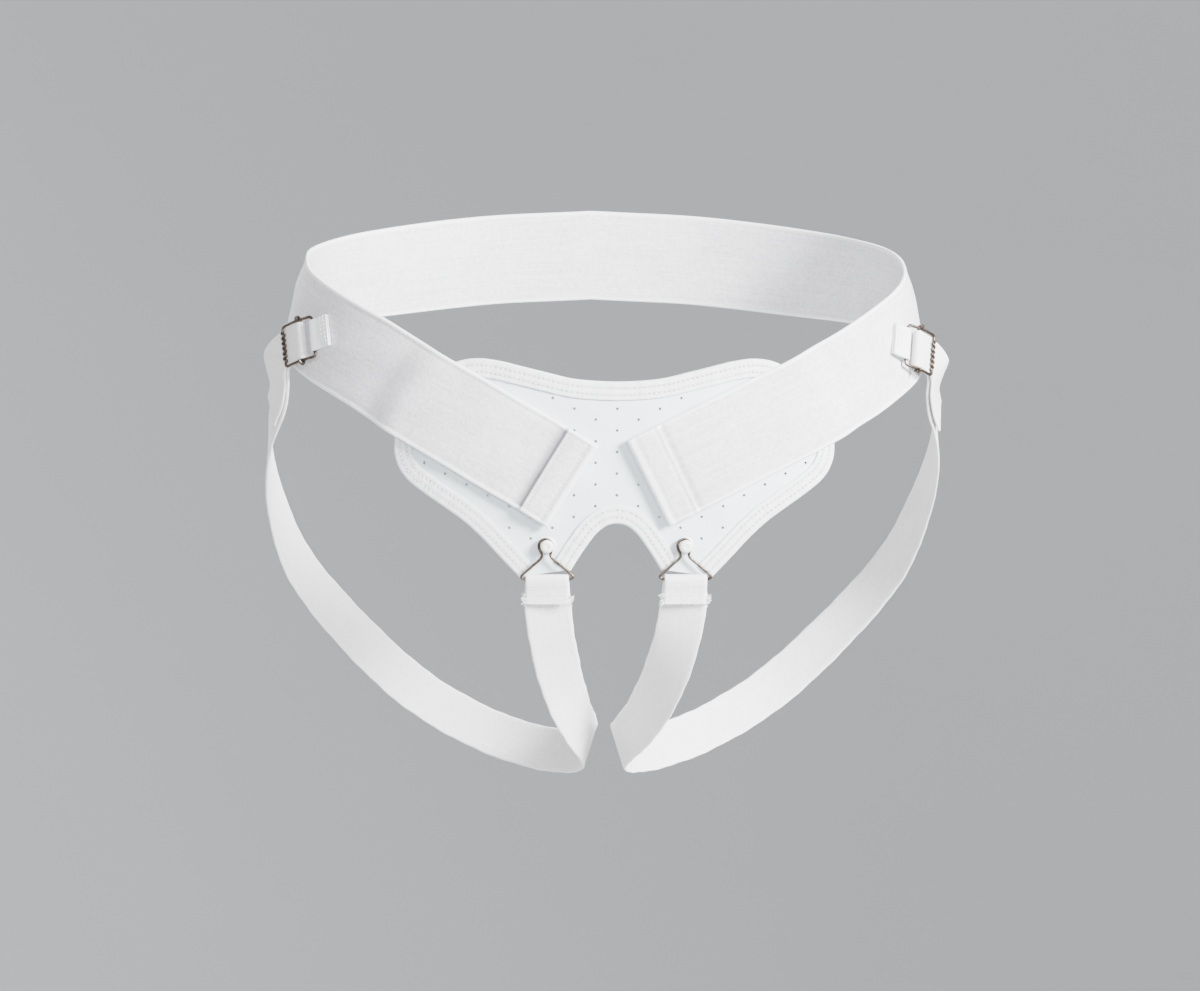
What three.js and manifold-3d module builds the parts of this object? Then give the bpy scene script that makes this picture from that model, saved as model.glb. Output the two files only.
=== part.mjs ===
// Hernia support belt, in the form that it takes when it is worn: a perforated front panel with bound
// edges, an elastic waistband whose two ends close on the panel, and two elastic leg straps, each
// hooked on a stud at the panel's lower tip and drawn through a wire buckle on the waistband.
// Millimetres. +Z is up, the front faces -Y, and the origin is the middle of the hips at the height
// of the side buckles. Names ending in _right are on the wearer's right, which is -X.
import * as THREE from "three";
import { mergeVertices } from "three/addons/utils/BufferGeometryUtils.js";
import Module from "manifold-3d";

const wasm = await Module();
wasm.setup();

// The hips that the belt is shaped on, measured at the origin's height
const HIP_WIDTH = 335;
const HIP_FRONT = 108;
const HIP_BACK = 118;
const HIP_ROUNDNESS = 2.3; // 2 is an ellipse, more is squarer

// Clearances
const GAP = 0.3; // between pieces that lie on each other

// Front panel, measured flat along the body
const PANEL_HALF_WIDTH = 113.3;
const PANEL_TOP = -10.5; // height of the two upper lobes
const PANEL_HEIGHT = 110.5; // from the lobes down to the tips
const PANEL_THICKNESS = 2.4;
const PANEL_BOTTOM = PANEL_TOP - PANEL_HEIGHT;
const THIGH_ROOM = 4; // from the tips down to the tops of the thighs
const HIP_DROP = THIGH_ROOM - PANEL_BOTTOM; // from the origin's height down to there
const ARCH_HALF_WIDTH = 24;
const ARCH_HEIGHT = 24.5;
const ARCH_TOP = PANEL_BOTTOM + 28;
const TIP_HALF_WIDTH = 48.3; // from the middle to the tips' outer corners

// Binding tape folded over the panel's edges
const BINDING_WIDTH = 8.5;
const TAPE_THICKNESS = 0.7;

// Perforations
const HOLE_DIAMETER = 1.5;
const HOLE_PITCH_ACROSS = 10.9;
const HOLE_PITCH_DOWN = 11;
const HOLE_TOP_ROW = -35.5;
const HOLE_MARGIN = 1.8; // from the binding's inner edge to a hole's centre
const HOLE_SIDES = 4;

// Waistband
const BAND_WIDTH = 49;
const BAND_THICKNESS = 1.8;
const BAND_ABOVE_TIPS = 46; // from the panel's tips up to the middle of its front ends
const BAND_FRONT_LEVEL = PANEL_BOTTOM + BAND_ABOVE_TIPS;
const BAND_BACK_LEVEL = 52; // height of its middle line at the middle of the back
const BAND_RISE = BAND_BACK_LEVEL - BAND_FRONT_LEVEL;
const HEM_LENGTH = 17;
const HEM_THICKNESS = 1.5;
const BAND_DROP_LENGTH = 20; // way in which it comes down from the panel to the body
const PATCH_LENGTH = 45;
const PATCH_INSET = 3;
const PATCH_THICKNESS = 1;

// Studs and wire hooks at the panel's tips
const STUD_ACROSS = 35.2;
const STUD_LEVEL = PANEL_BOTTOM + 16;
const STUD_FLANGE_DIAMETER = 9;
const STUD_FLANGE_THICKNESS = 1;
const STUD_POST_DIAMETER = 3;
const STUD_HEAD_DIAMETER = 6.6;
const STUD_HEAD_HEIGHT = 2;
const HOOK_WIRE = 1.5;
const HOOK_LOOP_RADIUS = 3.5; // to the wire's centreline
const HOOK_LENGTH = 16.8; // from the stud down to the base bar
const HOOK_BASE_WIDTH = 26.4;
const HOOK_NECK_WIDTH = 4.4;
const HOOK_LEAN = 1.5; // how much further out the base bar lies than the loop
const HOOK_PLAY = 0.8; // the loop hangs this far to -X of its stud
const HOOK_ROOM = 0.1; // beyond the gap on each side of the loop

// Leg straps
const STRAP_WIDTH = 24;
const STRAP_WIDTH_AT_HOOK = 22;
const STRAP_WIDTH_AT_BUCKLE = 20;
const STRAP_THICKNESS = 1.3;
const STRAP_FLAP = 13; // sewn end below the hook's base bar
const STRAP_TAIL = 41; // free end behind the buckle
const STRAP_DROP = 217; // depth of its lowest place below the origin

// Side buckles
const BUCKLE_ANGLE = 70; // round the body from the front
const BUCKLE_BELOW_MIDDLE = 2; // under the waistband's middle line
const BUCKLE_LENGTH = 20; // from the front bar to the toothed bar
const BUCKLE_WIRE = 1.6;
const BUCKLE_SLOPE = 18; // down towards the back, degrees
const BUCKLE_LIFT = 12.5; // of its rear end off the body, degrees
const BUCKLE_BOW = 1.2;
const BUCKLE_CORNER = 1.7;
const BUCKLE_BAR_PLACE = 8.4; // middle bar, behind the front bar
const BUCKLE_TEETH = 6;
const BUCKLE_TOOTH_DEPTH = 0.9;
const ANCHOR_THICKNESS = 0.9;
const ANCHOR_LENGTH = 9;

// Lifts off the body of what is stacked on it
const PANEL_LIFT = TAPE_THICKNESS + GAP;
const PANEL_FACE = PANEL_LIFT + PANEL_THICKNESS;
const PATCH_LIFT = PANEL_FACE + GAP;
const BAND_LIFT_ON_PANEL = PATCH_LIFT + PATCH_THICKNESS + GAP;
const BAND_LIFT = GAP;
const BAND_FACE = BAND_LIFT + BAND_THICKNESS;
const STUD_FLANGE_TOP = PATCH_LIFT + STUD_FLANGE_THICKNESS;
const HOOK_LIFT = STUD_FLANGE_TOP + GAP + HOOK_ROOM + HOOK_WIRE / 2;
const STUD_HEAD_LIFT = HOOK_LIFT + HOOK_WIRE / 2 + HOOK_ROOM + GAP;

// Sections of the hips: level as a share of HIP_DROP, then shares of the half width, front and back
const HIP_SECTIONS = [
  { level: -1.0, side: 1.11, front: 0.889, back: 0.983 },
  { level: -0.68, side: 1.075, front: 0.944, back: 1.034 },
  { level: -0.4, side: 1.045, front: 0.977, back: 1.042 },
  { level: -0.2, side: 1.021, front: 0.991, back: 1.025 },
  { level: 0, side: 1, front: 1, back: 1 },
  { level: 0.12, side: 0.982, front: 1, back: 0.975 },
  { level: 0.24, side: 0.964, front: 1, back: 0.949 },
  { level: 0.36, side: 0.931, front: 1, back: 0.932 },
  { level: 0.48, side: 0.915, front: 1, back: 0.92 },
  { level: 0.66, side: 0.93, front: 1, back: 0.92 },
];

// Half outline of the panel, from a tip's outer corner round the wing to the middle of the top:
// across as a share of PANEL_HALF_WIDTH, down as a share of PANEL_HEIGHT
const WING_OUTLINE = [
  { across: 0.426, down: 1 },
  { across: 0.521, down: 0.898 },
  { across: 0.6, down: 0.812 },
  { across: 0.68, down: 0.738 },
  { across: 0.762, down: 0.678 },
  { across: 0.858, down: 0.611 },
  { across: 0.943, down: 0.543 },
  { across: 0.988, down: 0.471 },
  { across: 1, down: 0.395 },
  { across: 0.982, down: 0.3 },
  { across: 0.92, down: 0.185 },
  { across: 0.83, down: 0.085 },
  { across: 0.73, down: 0.022 },
  { across: 0.63, down: 0.003 },
  { across: 0.53, down: 0.015 },
  { across: 0.43, down: 0.04 },
  { across: 0.32, down: 0.068 },
  { across: 0.21, down: 0.095 },
  { across: 0.105, down: 0.107 },
  { across: 0, down: 0.111 },
];

// Half outline of the arch: across as a share of ARCH_HALF_WIDTH, down as a share of ARCH_HEIGHT
const ARCH_OUTLINE = [
  { across: 0, down: 0 },
  { across: 0.16, down: 0.02 },
  { across: 0.32, down: 0.1 },
  { across: 0.48, down: 0.24 },
  { across: 0.64, down: 0.45 },
  { across: 0.82, down: 0.71 },
  { across: 1, down: 1 },
];

// Middle line of the waistband on each side of the body: turn round the body from the front in
// degrees, and rise as a share of BAND_RISE
const BAND_LINES = {
  right: [
    { turn: 12.3, rise: 0 },
    { turn: 20.7, rise: 0.08 },
    { turn: 30.2, rise: 0.172 },
    { turn: 37.6, rise: 0.254 },
    { turn: 44.9, rise: 0.338 },
    { turn: 51, rise: 0.411 },
    { turn: 58.9, rise: 0.509 },
    { turn: 68.4, rise: 0.607 },
    { turn: 78, rise: 0.69 },
    { turn: 90, rise: 0.765 },
    { turn: 105, rise: 0.835 },
    { turn: 122, rise: 0.9 },
    { turn: 150, rise: 0.972 },
    { turn: 180, rise: 1 },
  ],
  left: [
    { turn: 8.5, rise: 0.013 },
    { turn: 19.9, rise: 0.098 },
    { turn: 31.8, rise: 0.198 },
    { turn: 42.7, rise: 0.299 },
    { turn: 51.1, rise: 0.384 },
    { turn: 57.6, rise: 0.454 },
    { turn: 63.6, rise: 0.524 },
    { turn: 69.8, rise: 0.591 },
    { turn: 79, rise: 0.68 },
    { turn: 90, rise: 0.76 },
    { turn: 105, rise: 0.835 },
    { turn: 122, rise: 0.9 },
    { turn: 150, rise: 0.972 },
    { turn: 180, rise: 1 },
  ],
};

// Half outline of a wire hook below its loop: across as a share of half its base width, and down as a
// share of its length
const HOOK_OUTLINE = [
  { across: 0, down: 1 },
  { across: 0.55, down: 1 },
  { across: 0.93, down: 0.995 },
  { across: 1, down: 0.93 },
  { across: 0.62, down: 0.645 },
];

// Sewn flap of a leg strap: down as a share of its length, and out from the layer below it as a share
// of the strap's thickness
const FLAP_SHAPE = [
  { down: 1, out: -0.08 },
  { down: 0.72, out: 0.12 },
  { down: 0.45, out: 0.54 },
  { down: 0.2, out: 1.19 },
];

// Way of a leg strap round its thigh: first from the hook down through the crotch to its lowest place,
// then up behind the thigh to the buckle. Out is a share of the hips' half width, back a share of
// HIP_BACK, and down a share of the way from the panel's lower end, or from the origin, to the lowest
// place. Turn is where its face looks, from the front through the crotch to the back and the outer
// side, and tilt is how far it looks up.
const STRAP_WAY_DOWN = [
  { out: 0.209, back: -0.826, down: 0.1365, turn: 2, tilt: -8 },
  { out: 0.198, back: -0.77, down: 0.29, turn: 6, tilt: -14 },
  { out: 0.179, back: -0.686, down: 0.442, turn: 14, tilt: -20 },
  { out: 0.149, back: -0.559, down: 0.6135, turn: 30, tilt: -26 },
  { out: 0.102, back: -0.373, down: 0.792, turn: 55, tilt: -25 },
  { out: 0.058, back: -0.161, down: 0.907, turn: 80, tilt: -20 },
  { out: 0.048, back: 0.068, down: 0.968, turn: 98, tilt: -18 },
  { out: 0.09, back: 0.28, down: 1, turn: 118, tilt: -18 },
];
const STRAP_WAY_UP = [
  { out: 0.19, back: 0.49, down: 0.995, turn: 142, tilt: -20 },
  { out: 0.358, back: 0.68, down: 0.954, turn: 163, tilt: -18 },
  { out: 0.567, back: 0.788, down: 0.862, turn: 184, tilt: -12 },
  { out: 0.776, back: 0.737, down: 0.714, turn: 208, tilt: -4 },
  { out: 0.96, back: 0.56, down: 0.539, turn: 232, tilt: 2 },
  { out: 1.038, back: 0.32, down: 0.382, turn: 252, tilt: 4 },
  { out: 1.058, back: 0.085, down: 0.276, turn: 267, tilt: 4 },
  { out: 1.049, back: -0.09, down: 0.198, turn: 279, tilt: 4 },
  { out: 1.022, back: -0.215, down: 0.127, turn: 290, tilt: 3 },
];

const MATERIALS = {
  panel: new THREE.MeshStandardMaterial({ color: 0xdfe6ea, roughness: 0.55, metalness: 0 }),
  tape: new THREE.MeshStandardMaterial({ color: 0xf0f2f4, roughness: 0.75, metalness: 0 }),
  elastic: new THREE.MeshStandardMaterial({ color: 0xeeeeee, roughness: 0.9, metalness: 0 }),
  hookTape: new THREE.MeshStandardMaterial({ color: 0xe6e6e2, roughness: 0.95, metalness: 0 }),
  steel: new THREE.MeshStandardMaterial({ color: 0x6a5f58, roughness: 0.3, metalness: 1 }),
  moulded: new THREE.MeshStandardMaterial({ color: 0xf5f4f0, roughness: 0.35, metalness: 0 }),
};

const vector = (x, y, z) => new THREE.Vector3(x, y, z);
const radians = (degrees) => (degrees * Math.PI) / 180;

// Read a smooth curve through the rows of a table: the column `name` at place `at` of column `key`
function smooth(rows, key, name, at) {
  const last = rows.length - 1;
  const place = Math.min(Math.max(at, rows[0][key]), rows[last][key]);
  let i = 0;
  while (i < last - 1 && rows[i + 1][key] < place) i += 1;
  const slope = (k) => {
    const before = rows[Math.max(k - 1, 0)];
    const after = rows[Math.min(k + 1, last)];
    return (after[name] - before[name]) / (after[key] - before[key]);
  };
  const step = rows[i + 1][key] - rows[i][key];
  const t = (place - rows[i][key]) / step;
  const t2 = t * t;
  const t3 = t2 * t;
  return (
    (2 * t3 - 3 * t2 + 1) * rows[i][name] +
    (t3 - 2 * t2 + t) * step * slope(i) +
    (3 * t2 - 2 * t3) * rows[i + 1][name] +
    (t3 - t2) * step * slope(i + 1)
  );
}

// Point of the hips' surface at an angle from the front, positive towards +X, and a height
function hipPoint(angle, height) {
  const level = height / HIP_DROP;
  const side = (smooth(HIP_SECTIONS, "level", "side", level) * HIP_WIDTH) / 2;
  const facesFront = Math.cos(angle) > 0;
  const share = smooth(HIP_SECTIONS, "level", facesFront ? "front" : "back", level);
  const depth = share * (facesFront ? HIP_FRONT : HIP_BACK);
  const sum =
    Math.pow(Math.abs(Math.sin(angle)) / side, HIP_ROUNDNESS) +
    Math.pow(Math.abs(Math.cos(angle)) / depth, HIP_ROUNDNESS);
  const radius = Math.pow(sum, -1 / HIP_ROUNDNESS);
  return vector(radius * Math.sin(angle), -radius * Math.cos(angle), height);
}

// Directions on the hips' surface: right is level and turns towards +X, up climbs, normal looks out
function hipFrame(angle, height) {
  const right = hipPoint(angle + 0.01, height).sub(hipPoint(angle - 0.01, height)).normalize();
  const climb = hipPoint(angle, height + 0.5).sub(hipPoint(angle, height - 0.5));
  const normal = right.clone().cross(climb).normalize();
  const up = normal.clone().cross(right);
  return { point: hipPoint(angle, height), right, up, normal };
}

function onHips(angle, height, lift) {
  const { point, normal } = hipFrame(angle, height);
  return point.addScaledVector(normal, lift);
}

const angleOf = (point) => Math.atan2(point.x, -point.y);

// The place on the hips straight inward of a point, raised by lift
const laidOnHips = (point, lift) => onHips(angleOf(point), point.z, lift);

// Angle at which the distance along the body from the middle of the front reaches `across`
function angleAtArc(across, height) {
  const step = Math.sign(across || 1) * radians(1.5);
  let angle = 0;
  let travelled = 0;
  let point = hipPoint(0, height);
  while (Math.abs(angle) < Math.PI) {
    const next = hipPoint(angle + step, height);
    const chord = next.distanceTo(point);
    if (travelled + chord >= Math.abs(across)) {
      return angle + (step * (Math.abs(across) - travelled)) / chord;
    }
    travelled += chord;
    angle += step;
    point = next;
  }
  return angle;
}

// Distance along the body from the middle of the front to an angle
function arcAtAngle(angle, height) {
  const steps = Math.max(2, Math.ceil(Math.abs(angle) / radians(3)));
  let travelled = 0;
  for (let i = 0; i < steps; i += 1) {
    const from = hipPoint((angle * i) / steps, height);
    travelled += from.distanceTo(hipPoint((angle * (i + 1)) / steps, height));
  }
  return Math.sign(angle) * travelled;
}

// A point of the panel's flat pattern, wrapped on the hips
const wrapped = (across, height, lift) => onHips(angleAtArc(across, height), height, lift);

// A closed body from corner points and triangles, with its faces turned outwards
function body(points, triangles) {
  let volume = 0;
  for (const [a, b, c] of triangles) {
    volume += points[a].dot(points[b].clone().cross(points[c]));
  }
  const faces = volume < 0 ? triangles.map(([a, b, c]) => [a, c, b]) : triangles;
  const geometry = new THREE.BufferGeometry();
  geometry.setAttribute("position", new THREE.Float32BufferAttribute(points.flatMap((p) => p.toArray()), 3));
  geometry.setIndex(faces.flat());
  return geometry;
}

// A body through rings of points. Its two ends are closed by the triangles of the section's outline,
// or, where it is a loop, its last ring joins its first.
function loft(rings, section, isLoop = false) {
  const count = rings[0].length;
  const triangles = [];
  const bands = isLoop ? rings.length : rings.length - 1;
  for (let i = 0; i < bands; i += 1) {
    const next = (i + 1) % rings.length;
    for (let j = 0; j < count; j += 1) {
      const k = (j + 1) % count;
      triangles.push([i * count + j, next * count + j, next * count + k]);
      triangles.push([i * count + j, next * count + k, i * count + k]);
    }
  }
  if (!isLoop) {
    const end = (rings.length - 1) * count;
    const isClockwise = THREE.ShapeUtils.area(section) < 0;
    for (const [a, b, c] of THREE.ShapeUtils.triangulateShape(section, [])) {
      const [p, q] = isClockwise ? [c, b] : [b, c];
      triangles.push([a, p, q]);
      triangles.push([end + a, end + q, end + p]);
    }
  }
  return body(rings.flat(), triangles);
}

const tangentAt = (points, i, isLoop) => {
  const count = points.length;
  const before = isLoop ? points[(i - 1 + count) % count] : points[Math.max(i - 1, 0)];
  const after = isLoop ? points[(i + 1) % count] : points[Math.min(i + 1, count - 1)];
  return after.clone().sub(before).normalize();
};

// A flat strip along samples that give its middle, the direction of its width, and its width
function strip(samples, thickness) {
  const middles = samples.map((sample) => sample.point);
  const rings = samples.map((sample, i) => {
    const face = tangentAt(middles, i, false).cross(sample.across).normalize();
    return STRIP_SECTION.map(({ x, y }) =>
      sample.point
        .clone()
        .addScaledVector(sample.across, (x * sample.width) / 2)
        .addScaledVector(face, (y * thickness) / 2),
    );
  });
  return loft(rings, STRIP_SECTION);
}
const STRIP_SECTION = [
  new THREE.Vector2(1, 1),
  new THREE.Vector2(-1, 1),
  new THREE.Vector2(-1, -1),
  new THREE.Vector2(1, -1),
];

// A round wire along points that lie near a plane with the given normal
const WIRE_SIDES = 6;
function wire(points, diameter, planeNormal, isLoop) {
  const section = Array.from({ length: WIRE_SIDES }, (_, i) => {
    const turn = (2 * Math.PI * i) / WIRE_SIDES;
    return new THREE.Vector2(Math.cos(turn), Math.sin(turn));
  });
  const rings = points.map((point, i) => {
    const tangent = tangentAt(points, i, isLoop);
    const side = planeNormal.clone().cross(tangent).normalize();
    const rise = tangent.clone().cross(side);
    return section.map(({ x, y }) =>
      point
        .clone()
        .addScaledVector(side, (x * diameter) / 2)
        .addScaledVector(rise, (y * diameter) / 2),
    );
  });
  return loft(rings, section, isLoop);
}

// Points of an arc about a centre, from one angle to another, in the plane of two directions
function arcPoints(centre, first, second, radius, from, to, steps) {
  return Array.from({ length: steps + 1 }, (_, i) => {
    const turn = radians(from + ((to - from) * i) / steps);
    return centre
      .clone()
      .addScaledVector(first, radius * Math.cos(turn))
      .addScaledVector(second, radius * Math.sin(turn));
  });
}

function mesh(name, geometry, material) {
  const made = new THREE.Mesh(geometry, material);
  made.name = name;
  return made;
}

// Flat outlines

const flat = (across, height) => new THREE.Vector2(across, height);

// Even points along a smooth curve through a few points of the flat pattern
function curvedLine(points, spacing) {
  const curve = new THREE.SplineCurve(points);
  return curve.getSpacedPoints(Math.max(3, Math.ceil(curve.getLength() / spacing)));
}

const mirrored = (line) => line.map((p) => flat(-p.x, p.y)).reverse();

// Outer edge of the whole panel, from the left tip over the top to the right tip
function outerEdge(spacing) {
  const half = curvedLine(
    WING_OUTLINE.map((row, i) =>
      flat(i === 0 ? TIP_HALF_WIDTH : row.across * PANEL_HALF_WIDTH, PANEL_TOP - row.down * PANEL_HEIGHT),
    ),
    spacing,
  );
  return half.concat(mirrored(half).slice(1));
}

// Edge of the arch, from the right tip's inner corner over the top to the left tip's
function archEdge(spacing) {
  const half = curvedLine(
    [flat(-ARCH_OUTLINE[1].across * ARCH_HALF_WIDTH, ARCH_TOP - ARCH_OUTLINE[1].down * ARCH_HEIGHT)].concat(
      ARCH_OUTLINE.map((row) => flat(row.across * ARCH_HALF_WIDTH, ARCH_TOP - row.down * ARCH_HEIGHT)),
    ),
    spacing,
  ).filter((p) => p.x > spacing / 3);
  return mirrored(half).concat([flat(0, ARCH_TOP)], half);
}

const OUTER_EDGE = outerEdge(2);
const ARCH_EDGE = archEdge(2);
const PANEL_LOOP = OUTER_EDGE.concat(ARCH_EDGE);

function distanceToLine(point, line, isLoop = false) {
  let least = Infinity;
  const count = isLoop ? line.length : line.length - 1;
  for (let i = 0; i < count; i += 1) {
    const a = line[i];
    const side = line[(i + 1) % line.length].clone().sub(a);
    const along = point.clone().sub(a);
    const share = Math.min(Math.max(along.dot(side) / side.lengthSq(), 0), 1);
    least = Math.min(least, along.sub(side.multiplyScalar(share)).length());
  }
  return least;
}

function isInPanel(point) {
  let inside = false;
  for (let i = 0, j = PANEL_LOOP.length - 1; i < PANEL_LOOP.length; j = i, i += 1) {
    const a = PANEL_LOOP[i];
    const b = PANEL_LOOP[j];
    const crosses = a.y > point.y !== b.y > point.y;
    if (crosses && point.x < ((b.x - a.x) * (point.y - a.y)) / (b.y - a.y) + a.x) inside = !inside;
  }
  return inside;
}

// Height of an edge line where it passes a place across the pattern
function heightOn(line, across) {
  for (let i = 0; i < line.length - 1; i += 1) {
    const a = line[i];
    const b = line[i + 1];
    if ((a.x - across) * (b.x - across) <= 0 && a.x !== b.x) {
      return a.y + ((b.y - a.y) * (across - a.x)) / (b.x - a.x);
    }
  }
  return line[line.length - 1].y;
}

// Front panel

// Places across half the panel at which its ribs stand, closer together towards the wing's end
function ribPlaces(reach) {
  const ARCH_RIBS = 6;
  const TIP_RIBS = 4;
  const WING_RIBS = 11;
  const places = [];
  for (let i = 0; i < ARCH_RIBS; i += 1) places.push((ARCH_HALF_WIDTH * i) / ARCH_RIBS);
  for (let i = 0; i < TIP_RIBS; i += 1) {
    places.push(ARCH_HALF_WIDTH + ((TIP_HALF_WIDTH - ARCH_HALF_WIDTH) * i) / TIP_RIBS);
  }
  for (let i = 0; i <= WING_RIBS; i += 1) {
    const share = Math.sin((Math.PI / 2) * (i / WING_RIBS)) * 0.6 + (i / WING_RIBS) * 0.4;
    places.push(TIP_HALF_WIDTH + (reach - TIP_HALF_WIDTH) * share);
  }
  return places;
}

function panelBlank() {
  const ROWS = 5;
  const WING_END_INSET = 0.4; // of the last rib, so that it isn't without height
  const half = OUTER_EDGE.slice(0, Math.ceil(OUTER_EDGE.length / 2));
  const widest = half.reduce((best, p, i) => (p.x > half[best].x ? i : best), 0);
  const lowerEdge = half.slice(0, widest + 1);
  const upperEdge = half.slice(widest);
  const reach = half[widest].x - WING_END_INSET;
  const arch = ARCH_EDGE.slice(Math.floor(ARCH_EDGE.length / 2));
  const tipCorner = ARCH_TOP - ARCH_HEIGHT;
  const bottomAt = (across) => {
    if (across < ARCH_HALF_WIDTH) return heightOn(arch, across);
    if (across > TIP_HALF_WIDTH) return heightOn(lowerEdge, across);
    const share = (across - ARCH_HALF_WIDTH) / (TIP_HALF_WIDTH - ARCH_HALF_WIDTH);
    return tipCorner + (PANEL_BOTTOM - tipCorner) * share;
  };
  const halfPlaces = ribPlaces(reach);
  const places = halfPlaces
    .slice(1)
    .reverse()
    .map((x) => -x)
    .concat(halfPlaces);
  const rings = places.map((across) => {
    const low = bottomAt(Math.abs(across));
    const high = heightOn(upperEdge, Math.abs(across));
    const heights = Array.from({ length: ROWS + 1 }, (_, i) => low + ((high - low) * i) / ROWS);
    const back = heights.map((height) => wrapped(across, height, PANEL_LIFT));
    const front = heights.map((height) => wrapped(across, height, PANEL_FACE));
    return back.concat(front.reverse());
  });
  const section = Array.from({ length: 2 * (ROWS + 1) }, (_, i) =>
    i <= ROWS ? flat(i, 0) : flat(2 * ROWS + 1 - i, 1),
  );
  return loft(rings, section);
}

// A prism with its axis on the body's normal that passes through the panel
function punch(across, height, diameter, sides) {
  const OVERRUN = 1;
  const { normal, right, up, point } = hipFrame(angleAtArc(across, height), height);
  const section = Array.from({ length: sides }, (_, i) => {
    const turn = (2 * Math.PI * i) / sides;
    return flat((Math.cos(turn) * diameter) / 2, (Math.sin(turn) * diameter) / 2);
  });
  const rings = [PANEL_LIFT - OVERRUN, PANEL_FACE + OVERRUN].map((lift) =>
    section.map(({ x, y }) =>
      point.clone().addScaledVector(right, x).addScaledVector(up, y).addScaledVector(normal, lift),
    ),
  );
  return loft(rings, section);
}

// Centres of the perforations: a staggered grid, kept clear of the binding and the studs
function perforationPlaces() {
  const stud = flat(STUD_ACROSS, STUD_LEVEL);
  const edgeRoom = BINDING_WIDTH + HOLE_MARGIN;
  const studRoom = STUD_FLANGE_DIAMETER / 2 + HOLE_DIAMETER;
  const columns = Math.floor(PANEL_HALF_WIDTH / HOLE_PITCH_ACROSS);
  const rows = Math.ceil(PANEL_HEIGHT / HOLE_PITCH_DOWN);
  const places = [];
  for (let i = -columns; i <= columns; i += 1) {
    for (let j = -2; j < rows; j += 1) {
      const stagger = (Math.abs(i) % 2) * 0.5;
      const place = flat(i * HOLE_PITCH_ACROSS, HOLE_TOP_ROW - (j + stagger) * HOLE_PITCH_DOWN);
      const isClear =
        isInPanel(place) &&
        distanceToLine(place, OUTER_EDGE) > edgeRoom &&
        distanceToLine(place, ARCH_EDGE) > edgeRoom &&
        flat(Math.abs(place.x), place.y).distanceTo(stud) > studRoom;
      if (isClear) places.push(place);
    }
  }
  return places;
}

function solidOf(geometry) {
  const bare = mergeVertices(geometry, 1e-4);
  return new wasm.Manifold(
    new wasm.Mesh({
      numProp: 3,
      vertProperties: new Float32Array(bare.attributes.position.array),
      triVerts: new Uint32Array(bare.index.array),
    }),
  );
}

function geometryOf(solid) {
  const made = solid.getMesh();
  const geometry = new THREE.BufferGeometry();
  geometry.setAttribute("position", new THREE.Float32BufferAttribute(made.vertProperties, 3));
  geometry.setIndex(Array.from(made.triVerts));
  return geometry;
}

function frontPanel() {
  let panel = solidOf(panelBlank());
  for (const place of perforationPlaces()) {
    panel = panel.subtract(solidOf(punch(place.x, place.y, HOLE_DIAMETER, HOLE_SIDES)));
  }
  for (const side of [-1, 1]) {
    const bore = STUD_POST_DIAMETER + 2 * GAP;
    panel = panel.subtract(solidOf(punch(side * STUD_ACROSS, STUD_LEVEL, bore, 2 * HOLE_SIDES)));
  }
  return mesh("front_panel", geometryOf(panel), MATERIALS.panel);
}

// Binding tape: a U that holds the panel's edge between two legs
function binding(name, line, inward) {
  const BEND_START = 0.1; // inward of the panel's edge, where the flat legs turn into the bend
  const bend = GAP + TAPE_THICKNESS;
  const top = PANEL_FACE + bend;
  const section = [
    flat(BINDING_WIDTH, 0),
    flat(BEND_START, 0),
    flat(-bend, TAPE_THICKNESS + GAP),
    flat(-bend, top - TAPE_THICKNESS - GAP),
    flat(BEND_START, top),
    flat(BINDING_WIDTH, top),
    flat(BINDING_WIDTH, top - TAPE_THICKNESS),
    flat(-GAP, top - TAPE_THICKNESS),
    flat(-GAP, TAPE_THICKNESS),
    flat(BINDING_WIDTH, TAPE_THICKNESS),
  ];
  const rings = line.map((place, i) => {
    const before = line[Math.max(i - 1, 0)];
    const after = line[Math.min(i + 1, line.length - 1)];
    const along = after.clone().sub(before).normalize();
    const across = flat(-along.y * inward, along.x * inward);
    return section.map(({ x, y }) => wrapped(place.x + across.x * x, place.y + across.y * x, y));
  });
  return mesh(name, loft(rings, section), MATERIALS.tape);
}

// Waistband

const bandHeight = (line, turn) =>
  BAND_FRONT_LEVEL + BAND_RISE * smooth(line, "turn", "rise", turn);

// Middle line of the waistband from its right end round the back to its left end, as angle and height
const ROUTE_STEPS = 399;
const BAND_SPACING = 12;
function bandRoute() {
  const routes = [
    { side: -1, line: BAND_LINES.right },
    { side: 1, line: BAND_LINES.left },
  ].map(({ side, line }) => {
    const from = line[0].turn;
    const to = line[line.length - 1].turn;
    return Array.from({ length: ROUTE_STEPS + 1 }, (_, i) => {
      const turn = from + ((to - from) * i) / ROUTE_STEPS;
      return { angle: side * radians(turn), height: bandHeight(line, turn) };
    });
  });
  const whole = routes[0].concat(routes[1].reverse().slice(1));
  const points = whole.map(({ angle, height }) => hipPoint(angle, height));
  const lengths = [0];
  for (let i = 1; i < points.length; i += 1) {
    lengths.push(lengths[i - 1] + points[i].distanceTo(points[i - 1]));
  }
  return { whole, lengths, total: lengths[lengths.length - 1] };
}

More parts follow.
